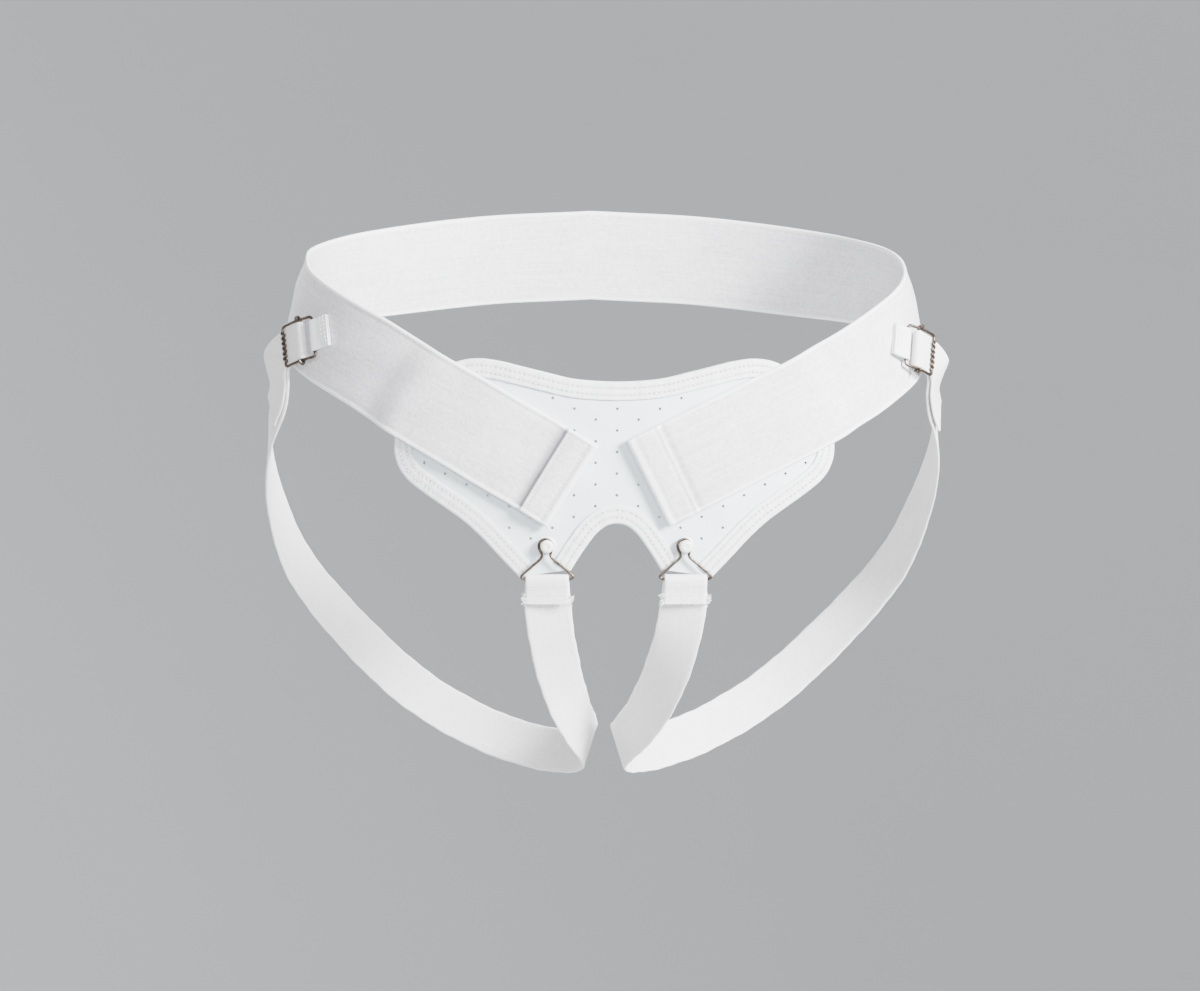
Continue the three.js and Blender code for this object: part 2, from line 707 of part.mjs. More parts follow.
// The route's middle point, climbing direction and run direction at a distance from its right end
function bandPlace(route, distance) {
  const at = (length) => {
    const wanted = Math.min(Math.max(length, 0), route.total);
    let i = 1;
    while (i < route.lengths.length - 1 && route.lengths[i] < wanted) i += 1;
    const share = (wanted - route.lengths[i - 1]) / (route.lengths[i] - route.lengths[i - 1]);
    const a = hipPoint(route.whole[i - 1].angle, route.whole[i - 1].height);
    const b = hipPoint(route.whole[i].angle, route.whole[i].height);
    return a.lerp(b, share);
  };
  const REACH = 3;
  const middle = at(distance);
  const run = at(distance + REACH)
    .sub(at(distance - REACH))
    .normalize();
  const { normal } = hipFrame(angleOf(middle), middle.z);
  return { middle, run, rise: run.clone().cross(normal).normalize() };
}

// How high the waistband lies at a place: on the panel it is raised, and beyond it comes down
function bandLiftAt(point) {
  const place = flat(arcAtAngle(angleOf(point), point.z), point.z);
  const outside = isInPanel(place) ? 0 : distanceToLine(place, PANEL_LOOP, true);
  const share = Math.min(Math.max(1 - (outside - BINDING_WIDTH / 4) / BAND_DROP_LENGTH, 0), 1);
  return BAND_LIFT + (BAND_LIFT_ON_PANEL - BAND_LIFT) * share * share * (3 - 2 * share);
}

// A strip that follows the waistband's route, with its own width, lift and thickness
function bandStrip(route, stops, width, liftAt, thicknessAt) {
  const COLUMNS = 4;
  const rings = stops.map((distance) => {
    const { middle, rise } = bandPlace(route, distance);
    const inner = [];
    const outer = [];
    for (let i = 0; i <= COLUMNS; i += 1) {
      const foot = middle.clone().addScaledVector(rise, width * (i / COLUMNS - 0.5));
      const lift = liftAt(foot);
      inner.push(laidOnHips(foot, lift));
      outer.push(laidOnHips(foot, lift + thicknessAt(distance)));
    }
    return inner.concat(outer.reverse());
  });
  const section = Array.from({ length: 2 * (COLUMNS + 1) }, (_, i) =>
    i <= COLUMNS ? flat(i, 0) : flat(2 * COLUMNS + 1 - i, 1),
  );
  return loft(rings, section);
}

function evenStops(from, to, spacing) {
  const count = Math.max(1, Math.round((to - from) / spacing));
  return Array.from({ length: count + 1 }, (_, i) => from + ((to - from) * i) / count);
}

function waistband(route) {
  const HEM_STEP = 0.8;
  const END_SPACING = 8.5;
  const hems = [HEM_LENGTH, HEM_LENGTH + HEM_STEP];
  const start = evenStops(0, HEM_LENGTH, END_SPACING);
  const end = start.map((stop) => route.total - stop).reverse();
  const stops = start.concat(
    evenStops(hems[1], route.total - hems[1], BAND_SPACING),
    end,
  );
  const thicknessAt = (distance) => {
    const fromEnd = Math.min(distance, route.total - distance);
    return fromEnd < HEM_LENGTH + HEM_STEP / 2 ? BAND_THICKNESS + HEM_THICKNESS : BAND_THICKNESS;
  };
  return mesh("waistband", bandStrip(route, stops, BAND_WIDTH, bandLiftAt, thicknessAt), MATERIALS.elastic);
}

// Hook tape under an end of the waistband, which grips the panel
function hookPatch(name, route, isRight) {
  const near = PATCH_INSET;
  const far = PATCH_INSET + PATCH_LENGTH;
  const [from, to] = isRight ? [near, far] : [route.total - far, route.total - near];
  const geometry = bandStrip(
    route,
    evenStops(from, to, BAND_SPACING),
    BAND_WIDTH - 2 * PATCH_INSET,
    () => PATCH_LIFT,
    () => PATCH_THICKNESS,
  );
  return mesh(name, geometry, MATERIALS.hookTape);
}

// Studs and wire hooks

function studFrame(side) {
  return hipFrame(angleAtArc(side * STUD_ACROSS, STUD_LEVEL), STUD_LEVEL);
}

function buttonStud(name, side) {
  const STUD_SIDES = 12;
  const post = STUD_POST_DIAMETER / 2;
  const flange = STUD_FLANGE_DIAMETER / 2;
  const head = STUD_HEAD_DIAMETER / 2;
  const headTop = STUD_HEAD_LIFT + STUD_HEAD_HEIGHT;
  const profile = [
    flat(0, 0),
    flat(flange, 0),
    flat(flange, TAPE_THICKNESS),
    flat(post, TAPE_THICKNESS),
    flat(post, PATCH_LIFT),
    flat(flange, PATCH_LIFT),
    flat(flange * 0.9, STUD_FLANGE_TOP),
    flat(post, STUD_FLANGE_TOP),
    flat(post, STUD_HEAD_LIFT),
    flat(head, STUD_HEAD_LIFT + STUD_HEAD_HEIGHT * 0.2),
    flat(head * 0.92, STUD_HEAD_LIFT + STUD_HEAD_HEIGHT * 0.65),
    flat(head * 0.55, headTop - STUD_HEAD_HEIGHT * 0.06),
    flat(0, headTop),
  ];
  const { point, right, up, normal } = studFrame(side);
  const geometry = mergeVertices(stripped(new THREE.LatheGeometry(profile, STUD_SIDES)), 1e-4);
  geometry.applyMatrix4(new THREE.Matrix4().makeBasis(up, normal, right).setPosition(point));
  return mesh(name, geometry, MATERIALS.moulded);
}

// A geometry with its corner points and triangles alone
function stripped(geometry) {
  geometry.deleteAttribute("normal");
  geometry.deleteAttribute("uv");
  return geometry;
}

// A point of the hook's plane: u to +X, v up from the stud, with the base leaning out
function hookPoint(side, u, v) {
  const { point, right, up, normal } = studFrame(side);
  return point
    .addScaledVector(right, u)
    .addScaledVector(up, v)
    .addScaledVector(normal, HOOK_LIFT + (HOOK_LEAN * -v) / HOOK_LENGTH);
}

function wireHook(name, side) {
  const HOOK_STEPS = 46;
  const LOOP_STEPS = 6;
  const LOOP_OPENING = 62; // half of the loop's lower opening, degrees
  const NECK_PLACE = 1.45; // below the stud, in loop radii
  const half = (sign) =>
    HOOK_OUTLINE.map(({ across, down }) =>
      flat((sign * across * HOOK_BASE_WIDTH) / 2, -down * HOOK_LENGTH),
    ).concat([flat((sign * HOOK_NECK_WIDTH - HOOK_PLAY) / 2, -HOOK_LOOP_RADIUS * NECK_PLACE)]);
  const loop = Array.from({ length: LOOP_STEPS + 1 }, (_, i) => {
    const turn = radians(-90 + LOOP_OPENING + ((360 - 2 * LOOP_OPENING) * i) / LOOP_STEPS);
    return flat(HOOK_LOOP_RADIUS * Math.cos(turn) - HOOK_PLAY, HOOK_LOOP_RADIUS * Math.sin(turn));
  });
  const line = half(1).concat(loop, half(-1).slice(1).reverse());
  const route = line.map(({ x, y }) => hookPoint(side, x, y));
  const curve = new THREE.CatmullRomCurve3(route, true, "centripetal");
  const points = curve.getSpacedPoints(HOOK_STEPS).slice(0, HOOK_STEPS);
  const planeNormal = studFrame(side).normal;
  return mesh(name, wire(points, HOOK_WIRE, planeNormal, true), MATERIALS.steel);
}

// Side buckles

// Where a buckle lies: the front bar's middle, and the directions to its rear, its top and outwards
function buckleFrame(side) {
  const line = side < 0 ? BAND_LINES.right : BAND_LINES.left;
  const height = bandHeight(line, BUCKLE_ANGLE) - BUCKLE_BELOW_MIDDLE;
  const { point, right, up, normal } = hipFrame(side * radians(BUCKLE_ANGLE), height);
  const rearward = right.clone().multiplyScalar(side);
  const slope = radians(BUCKLE_SLOPE);
  const lift = radians(BUCKLE_LIFT);
  const along = rearward
    .clone()
    .multiplyScalar(Math.cos(slope))
    .addScaledVector(up, -Math.sin(slope));
  const top = up.clone().multiplyScalar(Math.cos(slope)).addScaledVector(rearward, Math.sin(slope));
  const rear = along
    .clone()
    .multiplyScalar(Math.cos(lift))
    .addScaledVector(normal, Math.sin(lift));
  const out = normal
    .clone()
    .multiplyScalar(Math.cos(lift))
    .addScaledVector(along, -Math.sin(lift));
  const barLift = BAND_FACE + GAP + ANCHOR_THICKNESS + GAP + BUCKLE_WIRE / 2;
  return { front: point.addScaledVector(normal, barLift), rear, top, out, along, normal };
}

const buckleHalfHeight = STRAP_WIDTH_AT_BUCKLE / 2 + GAP + BUCKLE_WIRE / 2;
const railRise = (place) => BUCKLE_BOW * Math.sin((Math.PI * place) / BUCKLE_LENGTH);
const barDepth = railRise(BUCKLE_BAR_PLACE) - BUCKLE_WIRE - GAP;

// A point of a buckle: place from the front bar to the rear, height along its bars, and out
function bucklePoint(frame, place, height, out) {
  return frame.front
    .clone()
    .addScaledVector(frame.rear, place)
    .addScaledVector(frame.top, height)
    .addScaledVector(frame.out, out);
}

function buckleOutline() {
  const CORNER_STEPS = 3;
  const RAIL_STEPS = 4;
  const TOOTH_STEPS = 4;
  const high = buckleHalfHeight;
  const points = [];
  const corner = (place, height, from) => {
    for (let i = 0; i <= CORNER_STEPS; i += 1) {
      const turn = radians(from - (90 * i) / CORNER_STEPS);
      points.push(flat(place + BUCKLE_CORNER * Math.cos(turn), height + BUCKLE_CORNER * Math.sin(turn)));
    }
  };
  const inner = BUCKLE_CORNER;
  const far = BUCKLE_LENGTH - BUCKLE_CORNER;
  const rail = (from, to, height) => {
    for (let i = 1; i < RAIL_STEPS; i += 1) points.push(flat(from + ((to - from) * i) / RAIL_STEPS, height));
  };
  points.push(flat(0, 0));
  corner(inner, high - inner, 180);
  rail(inner, far, high);
  corner(far, high - inner, 90);
  const toothedHalf = high - inner - BUCKLE_TOOTH_DEPTH;
  const steps = BUCKLE_TEETH * TOOTH_STEPS;
  for (let i = 0; i <= steps; i += 1) {
    const wave = Math.sin((Math.PI * 2 * i) / TOOTH_STEPS);
    points.push(flat(BUCKLE_LENGTH + BUCKLE_TOOTH_DEPTH * wave, toothedHalf * (1 - (2 * i) / steps)));
  }
  corner(far, inner - high, 0);
  rail(far, inner, -high);
  corner(inner, inner - high, -90);
  return points;
}

function buckleWire(name, side) {
  const frame = buckleFrame(side);
  const points = buckleOutline().map(({ x, y }) => bucklePoint(frame, x, y, railRise(x)));
  return mesh(name, wire(points, BUCKLE_WIRE, frame.out, true), MATERIALS.steel);
}

// Middle bar: it passes under both rails and its ends curl up round them
function buckleBar(name, side) {
  const CURL_STEPS = 5;
  const frame = buckleFrame(side);
  const place = BUCKLE_BAR_PLACE;
  const curlRadius = BUCKLE_WIRE + GAP;
  const curl = (sign) =>
    arcPoints(
      bucklePoint(frame, place, sign * buckleHalfHeight, railRise(place)),
      frame.top.clone().multiplyScalar(sign),
      frame.out,
      curlRadius,
      -90,
      100,
      CURL_STEPS,
    );
  const points = curl(1)
    .reverse()
    .concat([bucklePoint(frame, place, 0, barDepth)], curl(-1));
  return mesh(name, wire(points, BUCKLE_WIRE, frame.rear, false), MATERIALS.steel);
}

// Webbing round the front bar, sewn down on the waistband in front of it
function anchorLoop(name, side) {
  const frame = buckleFrame(side);
  const radius = BUCKLE_WIRE / 2 + GAP + ANCHOR_THICKNESS / 2;
  const lowLift = BAND_FACE + GAP + ANCHOR_THICKNESS / 2;
  const highLift = lowLift + ANCHOR_THICKNESS + GAP;
  const ahead = (distance, lift) =>
    laidOnHips(frame.front.clone().addScaledVector(frame.along, -distance), lift);
  const TURN = { from: -60, to: 105, steps: 5 };
  const turnBack = arcPoints(
    frame.front, frame.along, frame.normal, radius, TURN.from, TURN.to, TURN.steps,
  );
  const points = [ahead(ANCHOR_LENGTH, lowLift), ahead(ANCHOR_LENGTH / 2, lowLift)].concat(
    turnBack,
    [ahead(ANCHOR_LENGTH / 2, highLift + GAP), ahead(ANCHOR_LENGTH, highLift)],
  );
  const width = 2 * (buckleHalfHeight - BUCKLE_WIRE / 2 - BUCKLE_CORNER);
  const samples = points.map((point) => ({ point, across: frame.top, width }));
  return mesh(name, strip(samples, ANCHOR_THICKNESS), MATERIALS.tape);
}

// Leg straps

// From a wire's centreline to the middle of a strap that goes round it
const STRAP_ROOM_AT_BAR = HOOK_WIRE / 2 + GAP + STRAP_THICKNESS / 2;
const STRAP_ROOM_AT_BUCKLE = BUCKLE_WIRE / 2 + GAP + STRAP_THICKNESS / 2;

// The stretch from the hook's base bar round the thigh to the buckle's toothed bar
function strapRun(side) {
  const SPACING = 11;
  const LEAD_AT_HOOK = 4; // straight stretches at both ends
  const LEAD_AT_BUCKLE = 6;
  const TAPER_AT_HOOK = STRAP_WIDTH / 2;
  const TAPER_AT_BUCKLE = 2.5 * STRAP_WIDTH;
  const buckle = buckleFrame(side);
  const { normal: hookNormal, up: hookUp } = studFrame(side);
  const belowBar = hookPoint(side, 0, -HOOK_LENGTH).addScaledVector(hookNormal, -STRAP_ROOM_AT_BAR);
  const depth = STRAP_ROOM_AT_BUCKLE + STRAP_THICKNESS + GAP;
  const start = { point: belowBar, face: hookNormal };
  const lead = { point: belowBar.clone().addScaledVector(hookUp, -LEAD_AT_HOOK), face: hookNormal };
  const station = (from, { out, back, down, turn, tilt }) => ({
    point: vector((side * out * HIP_WIDTH) / 2, back * HIP_BACK, from - (STRAP_DROP + from) * down),
    face: vector(
      -side * Math.sin(radians(turn)) * Math.cos(radians(tilt)),
      -Math.cos(radians(turn)) * Math.cos(radians(tilt)),
      Math.sin(radians(tilt)),
    ),
  });
  const wayDown = STRAP_WAY_DOWN.map((row) => station(PANEL_BOTTOM, row));
  const wayUp = STRAP_WAY_UP.map((row) => station(0, row));
  const behind = { point: bucklePoint(buckle, BUCKLE_LENGTH + LEAD_AT_BUCKLE, 0, -depth), face: buckle.out };
  const under = { point: bucklePoint(buckle, BUCKLE_LENGTH, 0, -depth), face: buckle.out };
  const stations = [start, lead, ...wayDown, ...wayUp, behind, under];
  const middle = new THREE.CatmullRomCurve3(
    stations.map((station) => station.point),
    false,
    "centripetal",
  );
  const faces = new THREE.CatmullRomCurve3(
    stations.map((station) => station.face),
    false,
    "catmullrom",
  );
  const length = middle.getLength();
  const count = Math.round(length / SPACING);
  return Array.from({ length: count + 1 }, (_, i) => {
    const place = middle.getUtoTmapping(i / count);
    const tangent = middle.getTangent(place);
    const face = faces.getPoint(place).normalize();
    face.addScaledVector(tangent, -face.dot(tangent)).normalize();
    const across = face.clone().cross(tangent).multiplyScalar(-side);
    const nearHook = Math.max(0, 1 - (length * i) / count / TAPER_AT_HOOK);
    const nearBuckle = Math.max(0, 1 - (length * (1 - i / count)) / TAPER_AT_BUCKLE);
    const width =
      STRAP_WIDTH +
      (STRAP_WIDTH_AT_HOOK - STRAP_WIDTH) * nearHook +
      (STRAP_WIDTH_AT_BUCKLE - STRAP_WIDTH) * nearBuckle;
    return { point: middle.getPoint(place), across, width, face };
  });
}

function legStrap(name, side) {
  const BAR_TURN = { from: 0, to: 170, steps: 5 };
  const BUCKLE_TURN = { from: -80, to: -275, steps: 6 };
  const TAIL_LIFT = 1.1; // by which the tail's end stands off the strap under it
  const run = strapRun(side);
  const hook = studFrame(side);
  const bar = hookPoint(side, 0, -HOOK_LENGTH);
  const hookSample = (point) => ({ point, across: run[0].across, width: STRAP_WIDTH_AT_HOOK });
  const layer = STRAP_THICKNESS + GAP;
  const flap = FLAP_SHAPE.map(({ down, out }) =>
    hookSample(
      bar
        .clone()
        .addScaledVector(hook.up, -down * STRAP_FLAP)
        .addScaledVector(hook.normal, layer - STRAP_ROOM_AT_BAR + out * STRAP_THICKNESS),
    ),
  );
  const overBar = arcPoints(
    bar, hook.normal, hook.up, STRAP_ROOM_AT_BAR, BAR_TURN.from, BAR_TURN.to, BAR_TURN.steps,
  ).map(hookSample);
  const buckle = buckleFrame(side);
  const midBar = bucklePoint(buckle, BUCKLE_BAR_PLACE, 0, barDepth);
  const buckleSample = (point) => ({ point, across: buckle.top, width: STRAP_WIDTH_AT_BUCKLE });
  const roundMidBar = arcPoints(
    midBar, buckle.rear, buckle.out, STRAP_ROOM_AT_BUCKLE,
    BUCKLE_TURN.from, BUCKLE_TURN.to, BUCKLE_TURN.steps,
  ).map(buckleSample);
  const underTeeth = buckleSample(bucklePoint(buckle, BUCKLE_LENGTH, 0, -STRAP_ROOM_AT_BUCKLE));
  const tail = [];
  let travelled = 0;
  for (let i = run.length - 2; i > 0 && travelled < STRAP_TAIL; i -= 1) {
    travelled += run[i].point.distanceTo(run[i + 1].point);
    const standOff = layer + TAIL_LIFT * Math.min(travelled / STRAP_TAIL, 1);
    tail.push({ ...run[i], point: run[i].point.clone().addScaledVector(run[i].face, standOff) });
  }
  const samples = [...flap, ...overBar, ...run, ...roundMidBar, underTeeth, ...tail];
  return mesh(name, strip(samples, STRAP_THICKNESS), MATERIALS.elastic);
}

// Assembly

const belt = new THREE.Group();
const route = bandRoute();
belt.add(frontPanel());
belt.add(binding("outer_binding", outerEdge(6.5), 1));
belt.add(binding("arch_binding", archEdge(3.5), 1));
belt.add(waistband(route));
for (const { label, side } of [
  { label: "right", side: -1 },
  { label: "left", side: 1 },
]) {
  belt.add(hookPatch(`hook_patch_${label}`, route, side < 0));
  belt.add(buttonStud(`button_stud_${label}`, side));
  belt.add(wireHook(`wire_hook_${label}`, side));
  belt.add(buckleWire(`buckle_frame_${label}`, side));
  belt.add(buckleBar(`buckle_bar_${label}`, side));
  belt.add(anchorLoop(`anchor_loop_${label}`, side));
  belt.add(legStrap(`leg_strap_${label}`, side));
}

export default belt;
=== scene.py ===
"""Hernia belt: the finish of its elastic bands, perforated panel, bindings, wires and studs.

Lengths in the classes are millimetres and become metres where a mesh is made. +Z is up, the front
faces -Y, the origin is the middle of the hips, and the wearer's right is -X.
"""

import logging
import math
from dataclasses import dataclass, field
from enum import Enum
from typing import Any

import bpy
import numpy as np
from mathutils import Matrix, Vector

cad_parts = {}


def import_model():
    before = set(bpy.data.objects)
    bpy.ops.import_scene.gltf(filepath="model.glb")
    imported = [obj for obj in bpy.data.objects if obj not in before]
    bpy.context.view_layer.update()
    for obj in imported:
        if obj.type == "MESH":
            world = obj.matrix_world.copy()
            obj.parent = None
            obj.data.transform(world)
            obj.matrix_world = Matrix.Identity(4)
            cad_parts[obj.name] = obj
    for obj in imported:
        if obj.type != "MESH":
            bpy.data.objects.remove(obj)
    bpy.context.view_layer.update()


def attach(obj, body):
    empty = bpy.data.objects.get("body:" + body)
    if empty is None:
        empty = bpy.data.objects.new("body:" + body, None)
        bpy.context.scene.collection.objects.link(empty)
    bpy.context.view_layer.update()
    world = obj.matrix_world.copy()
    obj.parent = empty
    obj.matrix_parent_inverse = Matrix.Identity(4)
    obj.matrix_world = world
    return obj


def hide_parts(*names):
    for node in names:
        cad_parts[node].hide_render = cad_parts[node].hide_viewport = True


LOG = logging.getLogger("hernia_belt")
MM = 0.001
CREASE = 40.0  # degrees past which an edge is shaded sharp
BODY = "root"
Array = np.ndarray
Colour = tuple[float, float, float]
Piece = bpy.types.Object
Material = bpy.types.Material
Socket = bpy.types.NodeSocket


class Side(Enum):
    """Side of the wearer that a piece is on."""

    RIGHT = -1
    LEFT = 1

    @property
    def label(self) -> str:
        """The side's word in the names of pieces."""
        return self.name.lower()


# Curves and directions


def unit(vectors: Array) -> Array:
    """Vectors at length one."""
    return vectors / np.linalg.norm(vectors, axis=-1, keepdims=True)


def rows_times(vectors: Array, lengths: Array | float) -> Array:
    """Vectors, each times its own length."""
    return vectors * np.asarray(lengths, float)[..., None]


def wave(places: Array, period: float, phase: float = 0.0) -> Array:
    """A sine wave of a period, from -1 to 1."""
    return np.sin(2 * math.pi * (places / period + phase))


def ease(share: Array) -> Array:
    """A smooth step from 0 to 1."""
    held = np.clip(share, 0, 1)
    return held * held * (3 - 2 * held)


def hill(places: Array, middle: float, reach: float) -> Array:
    """A smooth hill of height one that ends at a reach on each side of its middle."""
    return ease(1 - np.abs(places - middle) / reach)


class SmoothTable:
    """A smooth curve through a few rows of keys and values."""

    def __init__(self, rows: list[tuple[float, ...]], column: int) -> None:
        """Keeps the keys, a column of values and the slope at each.

        Args:
            rows: Rows whose first column is the key.
            column: The column to read.
        """
        table = np.array(rows, float)
        self.keys = table[:, 0]
        self.values = table[:, column]
        last = len(rows) - 1
        before = np.maximum(np.arange(last + 1) - 1, 0)
        after = np.minimum(np.arange(last + 1) + 1, last)
        self.slopes = (self.values[after] - self.values[before]) / (self.keys[after] - self.keys[before])

    def at(self, places: Array | float) -> Array:
        """Reads the curve.

        Args:
            places: Keys, held within the table's ends.

        Returns:
            The values there.
        """
        held = np.clip(places, self.keys[0], self.keys[-1])
        i = np.clip(np.searchsorted(self.keys, held, side="left") - 1, 0, len(self.keys) - 2)
        step = self.keys[i + 1] - self.keys[i]
        t = (held - self.keys[i]) / step
        t2, t3 = t * t, t * t * t
        return (
            (2 * t3 - 3 * t2 + 1) * self.values[i]
            + (t3 - 2 * t2 + t) * step * self.slopes[i]
            + (3 * t2 - 2 * t3) * self.values[i + 1]
            + (t3 - t2) * step * self.slopes[i + 1]
        )


class Spans(Enum):
    """How a curve's parameter runs between its points."""

    EVEN = "even"
    CENTRIPETAL = "centripetal"


def curve_through(
    points: Array, steps: int, spans: Spans = Spans.CENTRIPETAL, closed: bool = False, held: bool = False
) -> Array:
    """Samples a Catmull-Rom curve.

    Args:
        points: Points of the curve, one a row.
        steps: Samples for each span.
        spans: How the parameter runs.
        closed: True where the last point joins the first.
        held: True where the ends are doubled, and not mirrored.

    Returns:
        The samples, with the last point where the curve is open.
    """
    if closed:
        padded = np.vstack([points[-1:], points, points[:2]])
    else:
        first = points[0] if held else 2 * points[0] - points[1]
        last = points[-1] if held else 2 * points[-1] - points[-2]
        padded = np.vstack([first, points, last])
    p0, p1, p2, p3 = padded[:-3], padded[1:-2], padded[2:-1], padded[3:]
    if spans is Spans.EVEN:
        leave, arrive = (p2 - p0) / 2, (p3 - p1) / 2
    else:
        gaps = np.sqrt(np.maximum(np.linalg.norm(np.diff(padded, axis=0), axis=1), 1e-9))[:, None]
        d0, d1, d2 = gaps[:-2], gaps[1:-1], gaps[2:]
        leave = ((p1 - p0) / d0 - (p2 - p0) / (d0 + d1) + (p2 - p1) / d1) * d1
        arrive = ((p2 - p1) / d1 - (p3 - p1) / (d1 + d2) + (p3 - p2) / d2) * d1
    t = (np.arange(steps) / steps)[None, :, None]
    p1, p2, leave, arrive = (x[:, None, :] for x in (p1, p2, leave, arrive))
    samples = (
        (2 * t**3 - 3 * t**2 + 1) * p1
        + (t**3 - 2 * t**2 + t) * leave
        + (3 * t**2 - 2 * t**3) * p2
        + (t**3 - t**2) * arrive
    ).reshape(-1, points.shape[1])
    return samples if closed else np.vstack([samples, points[-1]])


def lengths_along(line: Array, columns: int = 3) -> Array:
    """Distance from a line's start to each of its points."""
    steps = np.linalg.norm(np.diff(line[:, :columns], axis=0), axis=1)
    return np.concatenate([[0.0], np.cumsum(steps)])


def read_along(line: Array, lengths: Array, stops: Array) -> Array:
    """Rows of a line at distances from its start."""
    return np.column_stack([np.interp(stops, lengths, line[:, c]) for c in range(line.shape[1])])


def evenly(line: Array, spacing: float, columns: int = 3) -> Array:
    """A line's rows again, evenly spaced.

    Args:
        line: Points, one a row, with more columns behind them where wanted.
        spacing: Distance between rows, rounded so that the ends are kept.
        columns: How many columns are the point itself.

    Returns:
        The even rows.
    """
    lengths = lengths_along(line, columns)
    count = max(3, math.ceil(lengths[-1] / spacing))
    return read_along(line, lengths, np.linspace(0, lengths[-1], count + 1))


def tangents(line: Array, closed: bool = False) -> Array:
    """Direction of a line at each of its points."""
    if closed:
        return unit(np.roll(line, -1, axis=0) - np.roll(line, 1, axis=0))
    ends = np.vstack([line[:1], line, line[-1:]])
    return unit(ends[2:] - ends[:-2])


def arc(centre: Array, first: Array, second: Array, radius: float, turns: Array) -> Array:
    """Points of an arc about a centre in the plane of two directions, at angles in degrees."""
    angles = np.radians(turns)[:, None]
    return centre + radius * (np.cos(angles) * first + np.sin(angles) * second)


# Meshes


def add_object(name: str, data: Any) -> Piece:
    """Adds an object to the scene, at the origin."""
    made = bpy.data.objects.new(name, data)
    bpy.context.scene.collection.objects.link(made)
    return made


def pattern_places(run: Array, across: Array) -> Array:
    """Pattern places of rings, from each ring's run and each corner's place across."""
    return np.stack(np.broadcast_arrays(run[:, None], across[None, :]), axis=-1)


@dataclass
class Shell:
    """A closed body: corner points, faces, a pattern place for each corner and named marks."""

    points: Array
    faces: list[tuple[int, ...]]
    places: Array | None = None
    marks: dict[str, Array] = field(default_factory=dict)

    def outward(self) -> "Shell":
        """The same shell with its faces turned outwards."""
        volume = 0.0
        middle = self.points.mean(axis=0)
        for face in self.faces:
            corners = self.points[list(face)] - middle
            fan = np.cross(corners[1:-1], corners[2:])
            volume += float(np.sum(fan @ corners[0]))
        if volume < 0:
            self.faces = [face[::-1] for face in self.faces]
        return self

    def build(self, name: str, crease: float = CREASE) -> Piece:
        """Makes the Blender object.

        Args:
            name: The object's name.
            crease: Angle in degrees past which an edge is shaded sharp.

        Returns:
            The object, at the origin, in metres.
        """
        mesh = bpy.data.meshes.new(name)
        mesh.from_pydata((self.points * MM).tolist(), [], self.faces)
        if self.places is not None:
            corner = np.zeros(len(mesh.loops), np.int32)
            mesh.loops.foreach_get("vertex_index", corner)
            layer = mesh.uv_layers.new(name="pattern")
            layer.data.foreach_set("uv", self.places[corner].astype(np.float32).ravel())
        for label, values in self.marks.items():
            attribute = mesh.attributes.new(label, "FLOAT", "POINT")
            attribute.data.foreach_set("value", values.astype(np.float32))
        mesh.shade_smooth()
        mesh.set_sharp_from_angle(angle=math.radians(crease))
        return add_object(name, mesh)


def loft(
    rings: Array, closed: bool = False, places: Array | None = None, marks: dict[str, Array] | None = None
) -> Shell:
    """A body through rings of points, with its ends closed.

    Args:
        rings: Points as ring, corner, coordinate.
        closed: True where the last ring joins the first.
        places: Pattern places as ring, corner, coordinate.
        marks: Values as ring, corner for each named mark.

    Returns:
        The shell, faces outward.
    """
    count, sides = rings.shape[:2]
    bands = np.arange(count if closed else count - 1)
    i, j = np.meshgrid(bands, np.arange(sides), indexing="ij")
    k, n = (j + 1) % sides, (i + 1) % count
    quads = np.stack([i * sides + j, n * sides + j, n * sides + k, i * sides + k], axis=-1)
    faces = [tuple(face) for face in quads.reshape(-1, 4).tolist()]
    if not closed:
        faces.append(tuple(range(sides)))
        faces.append(tuple(reversed(range((count - 1) * sides, count * sides))))
    return Shell(
        rings.reshape(-1, 3),
        faces,
        None if places is None else places.reshape(-1, 2),
        {label: values.reshape(-1) for label, values in (marks or {}).items()},
    ).outward()


def wire(line: Array, diameter: float, plane: Array, closed: bool, sides: int = 16) -> Shell:
    """A round wire whose ends, where it has any, are rounded.

    Args:
        line: Points of its centreline, near a plane.
        diameter: The wire's diameter.
        plane: The plane's normal.
        closed: True for a ring.
        sides: Corners round it.

    Returns:
        The shell.
    """
    along = tangents(line, closed)
    side = unit(np.cross(plane, along))
    rise = np.cross(along, side)
    radii = np.full(len(line), diameter / 2)
    if not closed:
        from_end = np.minimum(lengths_along(line), lengths_along(line[::-1])[::-1])
        inside = np.clip(1 - from_end / radii, 0, 1)
        radii = radii * np.sqrt(np.clip(1 - inside**2, 0.04, 1))
    turn = 2 * math.pi * np.arange(sides) / sides
    rings = (
        line[:, None, :]
        + radii[:, None, None] * np.cos(turn)[None, :, None] * side[:, None, :]
        + radii[:, None, None] * np.sin(turn)[None, :, None] * rise[:, None, :]
    )
    return loft(rings, closed, pattern_places(lengths_along(line), diameter / 2 * turn))


